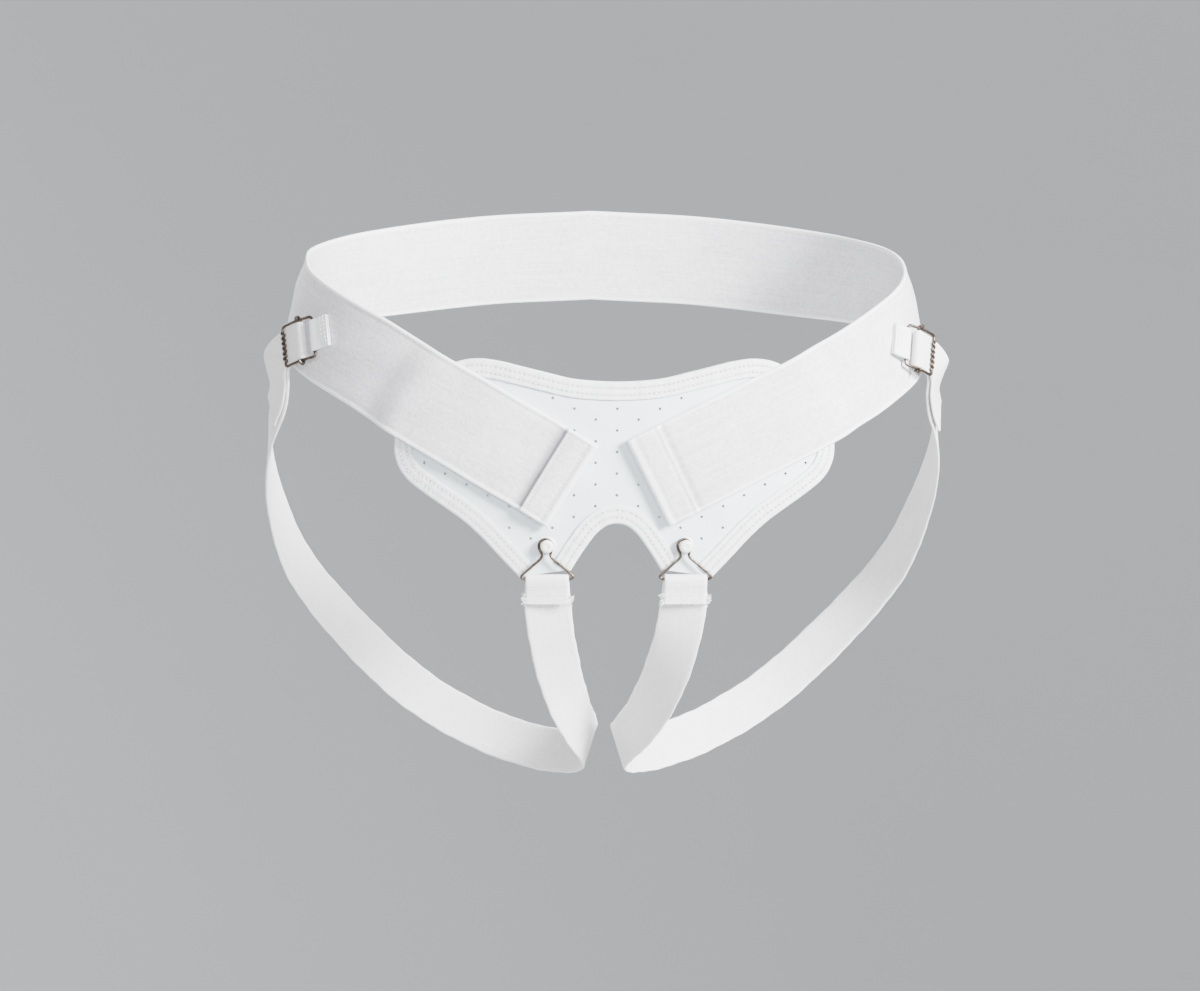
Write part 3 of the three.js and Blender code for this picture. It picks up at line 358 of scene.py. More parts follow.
@dataclass(frozen=True)
class RibbonSection:
    """Cross-section of a woven ribbon: rounded edges, and a corded rim along both."""

    columns: int = 14
    edge_steps: int = 4
    rim_width: float = 1.6
    rim_rise: float = 0.12

    def outline(self, width: float, thickness: float) -> Array:
        """Corners of the section.

        Args:
            width: Width of the ribbon.
            thickness: Its thickness.

        Returns:
            Corners as across and out, from the outer face round the far edge to the inner face.
        """
        radius = thickness / 2
        reach = width / 2 - radius
        across = np.linspace(-reach, reach, self.columns)
        near_rim = hill(np.abs(across), width / 2 - self.rim_width / 2, self.rim_width)
        out = radius + self.rim_rise * near_rim
        turn = np.radians(np.linspace(90, -90, self.edge_steps + 2)[1:-1])
        far = np.column_stack([reach + radius * np.cos(turn), radius * np.sin(turn)])
        near = np.column_stack([-far[::-1, 0], far[::-1, 1]])
        outer = np.column_stack([across, out])
        inner = np.column_stack([across[::-1], np.full(self.columns, -radius)])
        return np.vstack([outer, far, inner, near])


def ribbon(line: Array, across: Array, widths: Array, thickness: float, section: RibbonSection) -> Shell:
    """A ribbon along a line.

    Args:
        line: Middle of the ribbon.
        across: Direction of its width at each point.
        widths: Its width at each point.
        thickness: Its thickness.
        section: Its cross-section.

    Returns:
        The shell, with pattern places of run and across in millimetres, and a mark for a painted highlight
        along both edges.
    """
    face = unit(np.cross(tangents(line), across))
    run = lengths_along(line)
    rings, places, rim_highlights = [], [], []
    for point, side, out, width, distance in zip(line, across, face, widths, run):
        outline = section.outline(width, thickness)
        rings.append(point + outline[:, :1] * side + outline[:, 1:] * out)
        places.append(np.column_stack([np.full(len(outline), distance), outline[:, 0]]))
        # Painted highlight: the mark lightens the cloth along both edges
        rim_highlights.append(ease((np.abs(outline[:, 0]) - width / 2 + section.rim_width) / section.rim_width))
    return loft(np.array(rings), False, np.array(places), {"rim": np.array(rim_highlights)})


# The hips that the belt is shaped on

TURN_STEP = 0.01  # radians to each side, for a slope round the hips
CLIMB_STEP = 0.5  # millimetres up and down, for a slope up the hips


@dataclass(frozen=True)
class Hips:
    """The surface on which the belt lies, as sections of a rounded box at several levels."""

    width: float = 335.0
    front: float = 108.0
    back: float = 118.0
    drop: float = 125.0
    roundness: float = 2.3
    low: float = -130.0
    high: float = 90.0

    # Level as a share of the drop, then shares of the half width, the front and the back
    SECTIONS = [
        (-1.0, 1.11, 0.889, 0.983),
        (-0.68, 1.075, 0.944, 1.034),
        (-0.4, 1.045, 0.977, 1.042),
        (-0.2, 1.021, 0.991, 1.025),
        (0, 1, 1, 1),
        (0.12, 0.982, 1, 0.975),
        (0.24, 0.964, 1, 0.949),
        (0.36, 0.931, 1, 0.932),
        (0.48, 0.915, 1, 0.92),
        (0.66, 0.93, 1, 0.92),
    ]

    def point(self, angle: Array, height: Array) -> Array:
        """Points of the surface.

        Args:
            angle: Radians from the front, positive towards +X.
            height: Heights.

        Returns:
            Points, one a row.
        """
        level = np.asarray(height, float) / self.drop
        side = SmoothTable(self.SECTIONS, 1).at(level) * self.width / 2
        faces_front = np.cos(angle) > 0
        front = SmoothTable(self.SECTIONS, 2).at(level) * self.front
        back = SmoothTable(self.SECTIONS, 3).at(level) * self.back
        depth = np.where(faces_front, front, back)
        n = self.roundness
        total = (np.abs(np.sin(angle)) / side) ** n + (np.abs(np.cos(angle)) / depth) ** n
        radius = total ** (-1 / n)
        return np.stack([radius * np.sin(angle), -radius * np.cos(angle), height + 0 * radius], axis=-1)

    def frame(self, angle: Array, height: Array) -> tuple[Array, Array, Array, Array]:
        """The surface's point and its directions to the right, up and out."""
        right = unit(self.point(angle + TURN_STEP, height) - self.point(angle - TURN_STEP, height))
        climb = self.point(angle, height + CLIMB_STEP) - self.point(angle, height - CLIMB_STEP)
        normal = unit(np.cross(right, climb))
        return self.point(angle, height), right, np.cross(normal, right), normal

    def on(self, angle: Array, height: Array, lift: Array | float) -> Array:
        """Points raised off the surface by a lift."""
        point, _, _, normal = self.frame(angle, height)
        return point + normal * np.asarray(lift, float)[..., None]

    def laid(self, points: Array, lift: Array | float) -> Array:
        """Points of the surface straight inward of others, raised by a lift."""
        return self.on(np.arctan2(points[..., 0], -points[..., 1]), points[..., 2], lift)

    def normal_at(self, points: Array) -> Array:
        """Direction out of the surface beside points."""
        return self.frame(np.arctan2(points[..., 0], -points[..., 1]), points[..., 2])[3]


class ArcMap:
    """Distances along the hips from the middle of the front, at every height."""

    ROW_STEP = 2.0
    LEAST_ANGLE = 0.011
    MOST_ANGLE = 3.1
    NEAR_MIDDLE = 1.0
    ROUNDS = 8

    def __init__(self, hips: Hips) -> None:
        """Measures the hips on a grid of heights and angles."""
        self.hips = hips
        self.heights = np.arange(hips.low, hips.high, self.ROW_STEP)
        self.angles = np.radians(np.arange(0, 181, 1.0))
        grid_angle, grid_height = np.meshgrid(self.angles, self.heights)
        steps = np.linalg.norm(np.diff(hips.point(grid_angle, grid_height), axis=1), axis=2)
        start = np.zeros((len(self.heights), 1))
        self.arcs = np.hstack([start, np.cumsum(steps, axis=1)])

    def _row(self, height: Array) -> tuple[Array, Array]:
        """The grid row under each height and the share of the way to the next."""
        place = np.clip((height - self.heights[0]) / self.ROW_STEP, 0, len(self.heights) - 1.001)
        row = place.astype(int)
        return row, place - row

    def arc(self, angle: Array, height: Array) -> Array:
        """Distance along the body from the middle of the front to an angle."""
        row, share = self._row(height)
        place = np.clip(np.degrees(np.abs(angle)), 0, 179.999)
        column = place.astype(int)
        part = place - column
        low = self.arcs[row, column] * (1 - part) + self.arcs[row, column + 1] * part
        high = self.arcs[row + 1, column] * (1 - part) + self.arcs[row + 1, column + 1] * part
        return np.sign(angle) * (low * (1 - share) + high * share)

    def angle(self, across: Array, height: Array) -> Array:
        """Angle at which the distance along the body reaches `across`."""
        reach = np.abs(across)
        near = reach / self.hips.front
        guess = near
        for _ in range(self.ROUNDS):
            beyond, before = self.arc(guess + TURN_STEP, height), self.arc(guess - TURN_STEP, height)
            slope = (beyond - before) / (2 * TURN_STEP)
            better = guess + (reach - self.arc(guess, height)) / slope
            guess = np.clip(better, self.LEAST_ANGLE, self.MOST_ANGLE)
        return np.sign(across) * np.where(reach < self.NEAR_MIDDLE, near, guess)

    def wrapped(self, across: Array, height: Array, lift: Array | float) -> Array:
        """Points of the flat pattern, wrapped on the hips."""
        return self.hips.on(self.angle(across, height), height, lift)


# Flat pattern of the panel


def distance_to_line(points: Array, line: Array, closed: bool = False) -> Array:
    """Least distance from flat points to a line of flat points."""
    least = np.full(len(points), np.inf)
    ends = np.roll(line, -1, axis=0) if closed else line[1:]
    for start, end in zip(line, ends):
        side = end - start
        along = points - start
        share = np.clip(along @ side / max(side @ side, 1e-12), 0, 1)
        least = np.minimum(least, np.linalg.norm(along - share[:, None] * side, axis=1))
    return least


def is_inside(points: Array, loop: Array) -> Array:
    """True for each flat point inside a loop of flat points."""
    inside = np.zeros(len(points), bool)
    x, y = points[:, 0], points[:, 1]
    for a, b in zip(loop, np.roll(loop, 1, axis=0)):
        crosses = (a[1] > y) != (b[1] > y)
        rise = b[1] - a[1] if b[1] != a[1] else 1e-12
        inside ^= crosses & (x < (b[0] - a[0]) * (y - a[1]) / rise + a[0])
    return inside


@dataclass(frozen=True)
class Pattern:
    """Outline of the panel, measured flat along the body."""

    half_width: float = 113.3
    top: float = -10.5
    height: float = 110.5
    arch_half_width: float = 24.0
    arch_height: float = 24.5
    arch_below_top: float = 82.5
    tip_half_width: float = 48.3
    binding_width: float = 8.5
    stud_across: float = 35.2
    stud_above_bottom: float = 16.0
    flange_diameter: float = 9.0
    spacing: float = 2.0

    # From a tip's outer corner round the wing: across and down as shares
    WING = [
        (0.426, 1), (0.521, 0.898), (0.6, 0.812), (0.68, 0.738), (0.762, 0.678),
        (0.858, 0.611), (0.943, 0.543), (0.988, 0.471), (1, 0.395), (0.982, 0.3),
        (0.92, 0.185), (0.83, 0.085), (0.73, 0.022), (0.63, 0.003), (0.53, 0.015),
        (0.43, 0.04), (0.32, 0.068), (0.21, 0.095), (0.105, 0.107), (0, 0.111),
    ]
    ARCH = [(0, 0), (0.16, 0.02), (0.32, 0.1), (0.48, 0.24), (0.64, 0.45), (0.82, 0.71), (1, 1)]

    @property
    def bottom(self) -> float:
        """Height of the tips' ends."""
        return self.top - self.height

    @property
    def arch_top(self) -> float:
        """Height of the arch's top."""
        return self.top - self.arch_below_top

    @property
    def stud_height(self) -> float:
        """Height of the studs."""
        return self.bottom + self.stud_above_bottom

    def outer_edge(self, spacing: float) -> Array:
        """Outer edge from the left tip over the top to the right tip."""
        rows = np.array(self.WING, float) * [self.half_width, -self.height] + [0, self.top]
        rows[0, 0] = self.tip_half_width
        half = evenly(curve_through(rows, 12, Spans.EVEN, held=True), spacing, 2)
        return np.vstack([half, half[::-1][1:] * [-1, 1]])

    def arch_edge(self, spacing: float) -> Array:
        """Edge of the arch from the right tip's inner corner over the top to the left tip's."""
        rows = np.array(self.ARCH, float) * [self.arch_half_width, -self.arch_height] + [0, self.arch_top]
        whole = np.vstack([rows[1] * [-1, 1], rows])
        half = evenly(curve_through(whole, 12, Spans.EVEN, held=True), spacing, 2)
        half = half[half[:, 0] > spacing / 3]
        return np.vstack([half[::-1] * [-1, 1], [[0, self.arch_top]], half])

    def loop(self) -> Array:
        """The whole outline."""
        return np.vstack([self.outer_edge(self.spacing), self.arch_edge(self.spacing)])


# Geometry Nodes


class NodeTree:
    """A node tree that is written as calls, each giving back the node it adds."""

    def __init__(self, tree: bpy.types.NodeTree) -> None:
        """Keeps the tree."""
        self.tree = tree

    def add(self, kind: str, inputs: dict[Any, Any] | None = None, **settings: Any) -> bpy.types.Node:
        """Adds a node.

        Args:
            kind: Blender's name of the node type.
            inputs: A value, or an output to link, for each input by name or number.
            settings: The node's own settings.

        Returns:
            The node.
        """
        node = self.tree.nodes.new(kind)
        for name, value in settings.items():
            setattr(node, name, value)
        for name, value in (inputs or {}).items():
            if isinstance(value, Socket):
                self.tree.links.new(value, node.inputs[name])
            else:
                node.inputs[name].default_value = value
        return node

    def out(self, kind: str, inputs: dict[Any, Any] | None = None, **settings: Any) -> Socket:
        """The first output of a node that is added."""
        return self.add(kind, inputs, **settings).outputs[0]

    def calc(self, operation: str, *terms: Any) -> Socket:
        """One step of arithmetic on numbers or outputs."""
        return self.out("ShaderNodeMath", dict(enumerate(terms)), operation=operation)

    def times(self, first: Any, second: Any) -> Socket:
        """A product."""
        return self.calc("MULTIPLY", first, second)

    def plus(self, first: Any, second: Any) -> Socket:
        """A sum."""
        return self.calc("ADD", first, second)

    def scaled(self, value: Any, factor: Any, offset: Any) -> Socket:
        """A value times a factor, with an offset added."""
        return self.calc("MULTIPLY_ADD", value, factor, offset)


class SocketKind(Enum):
    """Kinds of a Geometry Nodes input."""

    NUMBER = "NodeSocketFloat"
    WHOLE = "NodeSocketInt"
    MATERIAL = "NodeSocketMaterial"
    OBJECT = "NodeSocketObject"


class Modeller(NodeTree):
    """A Geometry Nodes tree with named inputs, and its use on a carrier object."""

    NAME = ""
    INPUTS: dict[str, SocketKind] = {}

    def __init__(self) -> None:
        """Makes the tree and its inputs, the geometry first."""
        super().__init__(bpy.data.node_groups.new(self.NAME, "GeometryNodeTree"))
        sockets = self.tree.interface
        sockets.new_socket("Geometry", in_out="INPUT", socket_type="NodeSocketGeometry")
        for label, kind in self.INPUTS.items():
            sockets.new_socket(label, in_out="INPUT", socket_type=kind.value)
        sockets.new_socket("Geometry", in_out="OUTPUT", socket_type="NodeSocketGeometry")
        self.entry = self.add("NodeGroupInput").outputs

    def outward(self) -> Socket:
        """The direction out of the cloth at each point of the carrier."""
        named = {"Name": "out"}
        return self.out("GeometryNodeInputNamedAttribute", named, data_type="FLOAT_VECTOR")

    def turned(self, axis: str, vector: Any, pivot: str = "AUTO", first: Any = None) -> Socket:
        """Turns an axis towards a vector.

        Args:
            axis: The axis that is turned.
            vector: The direction that it takes.
            pivot: The axis that it turns about.
            first: A rotation that comes before.

        Returns:
            The rotation.
        """
        inputs = {"Vector": vector}
        if first is not None:
            inputs["Rotation"] = first
        kind = "FunctionNodeAlignRotationToVector"
        return self.out(kind, inputs, axis=axis, pivot_axis=pivot)

    def spaced_points(self) -> Socket:
        """The carrier's lines, resampled at the pitch."""
        rows = self.add("GeometryNodeMeshToCurve", {0: self.entry["Geometry"]})
        spaced = self.add("GeometryNodeResampleCurve", {0: rows.outputs[0]}, mode="LENGTH")
        self.tree.links.new(self.entry["Pitch"], spaced.inputs["Length"])
        return spaced.outputs[0]

    def uneven(self, low: Any, high: Any) -> Socket:
        """A random number between two others for each point."""
        inputs = {2: low, 3: high, "Seed": self.entry["Seed"]}
        return self.add("FunctionNodeRandomValue", inputs, data_type="FLOAT").outputs[1]

    def copies(self, points: Any, shape: Any, rotation: Any, scale: Any = (1, 1, 1)) -> Socket:
        """Copies of a shape on points."""
        inputs = {"Points": points, "Instance": shape, "Rotation": rotation, "Scale": scale}
        return self.out("GeometryNodeInstanceOnPoints", inputs)

    def close(self, geometry: Socket) -> None:
        """Ends the tree with real instances, shaded smooth, in their material."""
        real = self.out("GeometryNodeRealizeInstances", {0: geometry})
        shaded = self.out("GeometryNodeSetShadeSmooth", {0: real, "Shade Smooth": True})
        material = {0: shaded, "Material": self.entry["Material"]}
        dressed = self.out("GeometryNodeSetMaterial", material)
        self.add("NodeGroupOutput", {0: dressed})

    def run(self, carrier: Piece, name: str, values: dict[str, Any]) -> Piece:
        """Turns the tree's result on a carrier into a plain mesh object.

        Args:
            carrier: Object whose mesh enters the tree. It is removed.
            name: Name of the new object.
            values: A value for each named input.

        Returns:
            The new object.
        """
        modifier = carrier.modifiers.new(name, "NODES")
        modifier.node_group = self.tree
        for item in self.tree.interface.items_tree:
            if item.item_type == "SOCKET" and item.in_out == "INPUT" and item.name in values:
                modifier[item.identifier] = values[item.name]
        bpy.context.view_layer.update()
        evaluated = carrier.evaluated_get(bpy.context.evaluated_depsgraph_get())
        mesh = bpy.data.meshes.new_from_object(evaluated)
        carrier.modifiers.remove(modifier)
        bpy.data.objects.remove(carrier)
        mesh.name = name
        return add_object(name, mesh)


def carrier_of(name: str, lines: list[Array], outs: list[Array]) -> Piece:
    """An object of bare lines, or of bare points where a line has one.

    Args:
        name: The object's name.
        lines: Points of each line, in millimetres.
        outs: The direction out of the cloth at each of them.

    Returns:
        The object.
    """
    edges: list[tuple[int, int]] = []
    start = 0
    for line in lines:
        edges += [(start + i, start + i + 1) for i in range(len(line) - 1)]
        start += len(line)
    mesh = bpy.data.meshes.new(name)
    mesh.from_pydata((np.vstack(lines) * MM).tolist(), edges, [])
    attribute = mesh.attributes.new("out", "FLOAT_VECTOR", "POINT")
    attribute.data.foreach_set("vector", np.vstack(outs).astype(np.float32).ravel())
    return add_object(name, mesh)


class StitchModeller(Modeller):
    """Rows of stitches along lines on a cloth."""

    NAME = "stitch_rows"
    INPUTS = {
        "Pitch": SocketKind.NUMBER,
        "Stitch Length": SocketKind.NUMBER,
        "Thread Width": SocketKind.NUMBER,
        "Unevenness": SocketKind.NUMBER,
        "Seed": SocketKind.WHOLE,
        "Material": SocketKind.MATERIAL,
    }
    SEGMENTS = 8
    RINGS = 5

    def __init__(self) -> None:
        """Builds the tree: a bead for each stitch, laid along its row and flat on the cloth."""
        super().__init__()
        points = self.spaced_points()
        round_bead = {"Segments": self.SEGMENTS, "Rings": self.RINGS, "Radius": 0.5}
        bead = self.out("GeometryNodeMeshUVSphere", round_bead)
        along = self.turned("X", self.out("GeometryNodeInputTangent"))
        laid = self.turned("Z", self.outward(), "X", along)
        low = self.calc("SUBTRACT", 1.0, self.entry["Unevenness"])
        high = self.plus(1.0, self.entry["Unevenness"])
        length = self.times(self.uneven(low, high), self.entry["Stitch Length"])
        width = self.entry["Thread Width"]
        size = self.out("ShaderNodeCombineXYZ", {0: length, 1: width, 2: width})
        self.close(self.copies(points, bead, laid, size))


class FrayModeller(Modeller):
    """Loose fibres that stand out of a cut end."""

    NAME = "frayed_fibres"
    INPUTS = {
        "Fibre Length": SocketKind.NUMBER,
        "Fibre Width": SocketKind.NUMBER,
        "Curl": SocketKind.NUMBER,
        "Pitch": SocketKind.NUMBER,
        "Seed": SocketKind.WHOLE,
        "Material": SocketKind.MATERIAL,
    }
    STEPS = 4
    SIDES = 4
    LEAN = 0.9
    SHORTEST, LONGEST = 0.45, 1.2

    def __init__(self) -> None:
        """Builds the tree: a bowed fibre on each point, leaning at random."""
        super().__init__()
        points = self.spaced_points()
        bow = self.out("ShaderNodeCombineXYZ", {0: self.entry["Curl"], 2: 0.5})
        bowed = {"Resolution": self.STEPS, "Start": (0, 0, 0), "Middle": bow, "End": (0, 0, 1)}
        fibre = self.out("GeometryNodeCurveQuadraticBezier", bowed)
        thin = self.calc("DIVIDE", self.entry["Fibre Width"], self.entry["Fibre Length"])
        round_profile = {"Resolution": self.SIDES, "Radius": thin}
        circle = self.out("GeometryNodeCurvePrimitiveCircle", round_profile)
        swept = {"Curve": fibre, "Profile Curve": circle, "Fill Caps": True}
        thread = self.out("GeometryNodeCurveToMesh", swept)
        stray = {0: (-self.LEAN,) * 3, 1: (self.LEAN,) * 3, "Seed": self.entry["Seed"]}
        side = self.out("FunctionNodeRandomValue", stray, data_type="FLOAT_VECTOR")
        leaning = self.out("ShaderNodeVectorMath", {0: self.outward(), 1: side}, operation="ADD")
        size = self.times(self.uneven(self.SHORTEST, self.LONGEST), self.entry["Fibre Length"])
        self.close(self.copies(points, thread, self.turned("Z", leaning), size))


class PerforationModeller(Modeller):
    """Round holes cut through a sheet at the points of another object."""

    NAME = "perforations"
    INPUTS = {
        "Places": SocketKind.OBJECT,
        "Hole Diameter": SocketKind.NUMBER,
        "Depth": SocketKind.NUMBER,
        "Material": SocketKind.MATERIAL,
    }
    SIDES = 14

    def __init__(self) -> None:
        """Builds the tree: a pin through the sheet at each place, cut out of it, whose faces carry a mark
        for painted shade on the hole walls.
        """
        super().__init__()
        places = self.add("GeometryNodeObjectInfo", {"Object": self.entry["Places"]}).outputs["Geometry"]
        radius = self.calc("DIVIDE", self.entry["Hole Diameter"], 2.0)
        round_pin = {"Vertices": self.SIDES, "Radius": radius, "Depth": self.entry["Depth"]}
        pin = self.add("GeometryNodeMeshCylinder", round_pin).outputs["Mesh"]
        # The pins' faces are marked, so that the hole walls they leave get painted shade
        mark = {"Geometry": pin, "Name": "bore", "Value": 1.0}
        kind = "GeometryNodeStoreNamedAttribute"
        marked = self.out(kind, mark, data_type="FLOAT", domain="FACE")
        pins = self.copies(places, marked, self.turned("Z", self.outward()))
        real = self.out("GeometryNodeRealizeInstances", {0: pins})
        cut = self.add("GeometryNodeMeshBoolean", operation="DIFFERENCE", solver="EXACT")
        self.tree.links.new(self.entry["Geometry"], cut.inputs["Mesh 1"])
        self.tree.links.new(real, cut.inputs["Mesh 2"])
        self.close(cut.outputs["Mesh"])


# Finishes


class Dye(NodeTree):
    """A material's node tree round one Principled shader."""

    def __init__(self, name: str) -> None:
        """Makes the material with a bare shader."""
        self.material = bpy.data.materials.new(name)
        self.material.use_nodes = True
        super().__init__(self.material.node_tree)
        self.tree.nodes.clear()
        self.shader = self.add("ShaderNodeBsdfPrincipled")
        self.add("ShaderNodeOutputMaterial", {"Surface": self.shader.outputs[0]})
        self.bumped: Socket | None = None

    def pattern(self) -> tuple[Socket, Socket, Socket]:
        """The piece's own pattern place as a vector, its run and its across, in millimetres."""
        place = self.out("ShaderNodeUVMap", uv_map="pattern")
        parts = self.add("ShaderNodeSeparateXYZ", {0: place})
        return place, parts.outputs[0], parts.outputs[1]

    def spot(self) -> Socket:
        """Object coordinates in millimetres."""
        place = self.add("ShaderNodeTexCoord").outputs["Object"]
        factors = {0: place, 1: (1 / MM,) * 3}
        return self.out("ShaderNodeVectorMath", factors, operation="MULTIPLY")

    def noise(self, place: Any, scale: float, detail: float = 2.0) -> Socket:
        """A noise from 0 to 1 at a scale per millimetre."""
        inputs = {"Vector": place, "Scale": scale, "Detail": detail}
        return self.out("ShaderNodeTexNoise", inputs)

    def stretched(self, run: Any, across: Any, along: float, aside: float) -> Socket:
        """A noise with its own scale along the cloth and across it."""
        parts = {0: self.times(run, along), 1: self.times(across, aside)}
        return self.noise(self.out("ShaderNodeCombineXYZ", parts), 1.0, 3.0)

    def ripple(self, place: Any, period: float) -> Socket:
        """A sine wave along a coordinate, from -1 to 1."""
        return self.calc("SINE", self.times(place, 2 * math.pi / period))

    def mark(self, name: str) -> Socket:
        """A named mark of the piece."""
        return self.add("ShaderNodeAttribute", attribute_name=name).outputs["Fac"]

    def spread(self, value: Any, low: float, high: float) -> Socket:
        """A value stretched so that low and high become 0 and 1."""
        return self.out("ShaderNodeMapRange", {0: value, 1: low, 2: high})

    def blend(self, share: Any, first: Any, second: Any) -> Socket:
        """A mix of two colours, each three numbers or an output."""
        inputs = {0: share, 6: first, 7: second}
        inputs |= {key: (*value, 1.0) for key, value in inputs.items() if isinstance(value, tuple)}
        return self.add("ShaderNodeMix", inputs, data_type="RGBA").outputs[2]

    def bump(self, height: Socket, depth: float, strength: float = 1.0) -> None:
        """Adds relief to the shader's normal.

        Args:
            height: The relief, as 0 to 1.
            depth: Its depth in millimetres.
            strength: Share of it that is used.
        """
        inputs: dict[str, Any] = {"Height": height, "Distance": depth * MM, "Strength": strength}
        if self.bumped is not None:
            inputs["Normal"] = self.bumped
        self.bumped = self.out("ShaderNodeBump", inputs)
        self.tree.links.new(self.bumped, self.shader.inputs["Normal"])

    def colour(self, value: Socket) -> None:
        """Sets the surface's colour."""
        self.tree.links.new(value, self.shader.inputs["Base Color"])

    def roughness(self, value: Socket) -> None:
        """Sets the surface's roughness."""
        self.tree.links.new(value, self.shader.inputs["Roughness"])

    def fixed(self, **values: float) -> None:
        """Sets values that are the same all over, by the socket's name with underscores."""
        for name, value in values.items():
            label = name.replace("_", " ").title().replace("Ior", "IOR")
            self.shader.inputs[label].default_value = value


@dataclass(frozen=True)
class ElasticFinish:
    """Woven elastic: lengthwise ribs crossed by weft, faint streaks and a soft nap, with a painted
    highlight along its edges and folded ends and painted shade in its hem grooves and seam rows.
    """

    name: str
    light: Colour
    shade: Colour
    rib_pitch: float
    weft_pitch: float
    rib_depth: float
    streak_share: float
    nap_scale: float = 2.6
    fuzz_scale: float = 0.5
    ground: float = 0.2
    # Colour of the painted shade in the hem grooves and seam rows
    seam_shade: Colour = (0.14, 0.12, 0.145)

    def make(self) -> Material:
        """Builds the material."""
        dye = Dye(self.name)
        _, run, across = dye.pattern()
        ribs = dye.ripple(across, self.rib_pitch)
        weft = dye.times(dye.ripple(run, self.weft_pitch), dye.ripple(across, 2 * self.rib_pitch))
        nap = dye.noise(dye.spot(), self.nap_scale, 4.0)
        streaks = dye.spread(dye.stretched(run, across, 0.018, 0.9), 0.3, 0.75)
        clouds = dye.spread(dye.noise(dye.spot(), 0.05, 3.0), 0.3, 0.7)
        fuzz = dye.spread(dye.noise(dye.spot(), self.fuzz_scale, 5.0), 0.36, 0.66)
        # The edge mark paints a highlight along the selvedges and folded ends
        rim = dye.mark("rim")
        woven = dye.scaled(ribs, 0.13, dye.scaled(weft, 0.15, 0.5))
        relief = dye.plus(woven, dye.times(nap, 0.9))
        relief = dye.plus(relief, dye.times(fuzz, -0.35))
        dark = dye.scaled(streaks, self.streak_share, dye.times(clouds, 0.12))
        dark = dye.plus(dark, dye.times(dye.calc("SUBTRACT", 0.62, woven), 0.3))
        dark = dye.plus(dark, dye.scaled(fuzz, 0.24, self.ground))
        # Painted highlight: near the edges and folded ends the cloth's darker ground is taken away
        plain = dye.times(dark, dye.calc("SUBTRACT", 1.0, dye.times(rim, 0.7)))
        cloth = dye.blend(dye.calc("MAXIMUM", plain, 0.0), self.light, self.shade)
        # Painted shade: the hems' grooves and seam rows are darkened towards the shade colour
        dye.colour(dye.blend(dye.times(dye.mark("seam"), 0.8), cloth, self.seam_shade))
        dye.roughness(dye.scaled(nap, 0.2, 0.72))
        dye.bump(relief, self.rib_depth, 0.8)
        dye.fixed(sheen_weight=0.35, sheen_roughness=0.45, specular_ior_level=0.25)
        return dye.material


@dataclass(frozen=True)
class SheetFinish:
    """The panel's pressed sheet: smooth and cool white, with a fine fibre grain and painted shade on the
    walls of its holes.
    """

    name: str = "panel_sheet"
    light: Colour = (0.72, 0.80, 0.835)
    shade: Colour = (0.60, 0.68, 0.72)
    # Colour of the painted shade on the hole walls
    bore_shade: Colour = (0.05, 0.055, 0.065)

    def make(self) -> Material:
        """Builds the material."""
        dye = Dye(self.name)
        spot = dye.spot()
        clouds = dye.spread(dye.noise(spot, 0.045, 3.0), 0.32, 0.7)
        grain = dye.noise(spot, 1.9, 5.0)
        cells = dye.add("ShaderNodeTexVoronoi", {"Vector": spot, "Scale": 1.15}).outputs["Distance"]
        fibres = dye.times(dye.spread(grain, 0.35, 0.7), 0.22)
        worn = dye.scaled(clouds, 0.3, fibres)
        front = dye.blend(worn, self.light, self.shade)
        # Painted shade: the hole walls are made nearly black
        dye.colour(dye.blend(dye.mark("bore"), front, self.bore_shade))
        dye.roughness(dye.scaled(grain, 0.25, 0.42))
        dye.bump(dye.scaled(cells, 0.5, dye.times(grain, 0.8)), 0.16, 0.55)
        dye.fixed(specular_ior_level=0.4, sheen_weight=0.08)
        return dye.material


@dataclass(frozen=True)
class TapeFinish:
    """Woven cotton tape with a fine herringbone, and painted shade dashed along its sewn grooves."""

    name: str = "binding_tape"
    light: Colour = (0.86, 0.87, 0.88)
    shade: Colour = (0.60, 0.62, 0.66)
    rib_pitch: float = 0.9
    twill: float = 0.55
    stitch_pitch: float = 2.5
    # Colour of the painted shade in the sewn grooves
    seam_shade: Colour = (0.22, 0.23, 0.27)

    def make(self) -> Material:
        """Builds the material."""
        dye = Dye(self.name)
        _, run, across = dye.pattern()
        zigzag = dye.calc("ABSOLUTE", dye.calc("SINE", across))
        slanted = dye.scaled(zigzag, self.twill, run)
        ribs = dye.ripple(slanted, self.rib_pitch)
        weave = dye.times(ribs, dye.ripple(across, 0.75))
        nap = dye.noise(dye.spot(), 2.2, 4.0)
        height = dye.plus(dye.scaled(weave, 0.3, 0.4), dye.times(nap, 0.6))
        dark = dye.times(dye.spread(height, 1.0, 0.35), 0.4)
        # Painted shade: the sewn grooves are darkened in dashes at the stitch pitch
        dashes = dye.scaled(dye.ripple(run, self.stitch_pitch), 0.3, 0.5)
        seam = dye.times(dye.mark("seam"), dashes)
        dye.colour(dye.blend(seam, dye.blend(dark, self.light, self.shade), self.seam_shade))
        dye.roughness(dye.scaled(nap, 0.2, 0.66))
        dye.bump(height, 0.2, 0.7)
        dye.fixed(sheen_weight=0.25, sheen_roughness=0.5, specular_ior_level=0.3)
        return dye.material


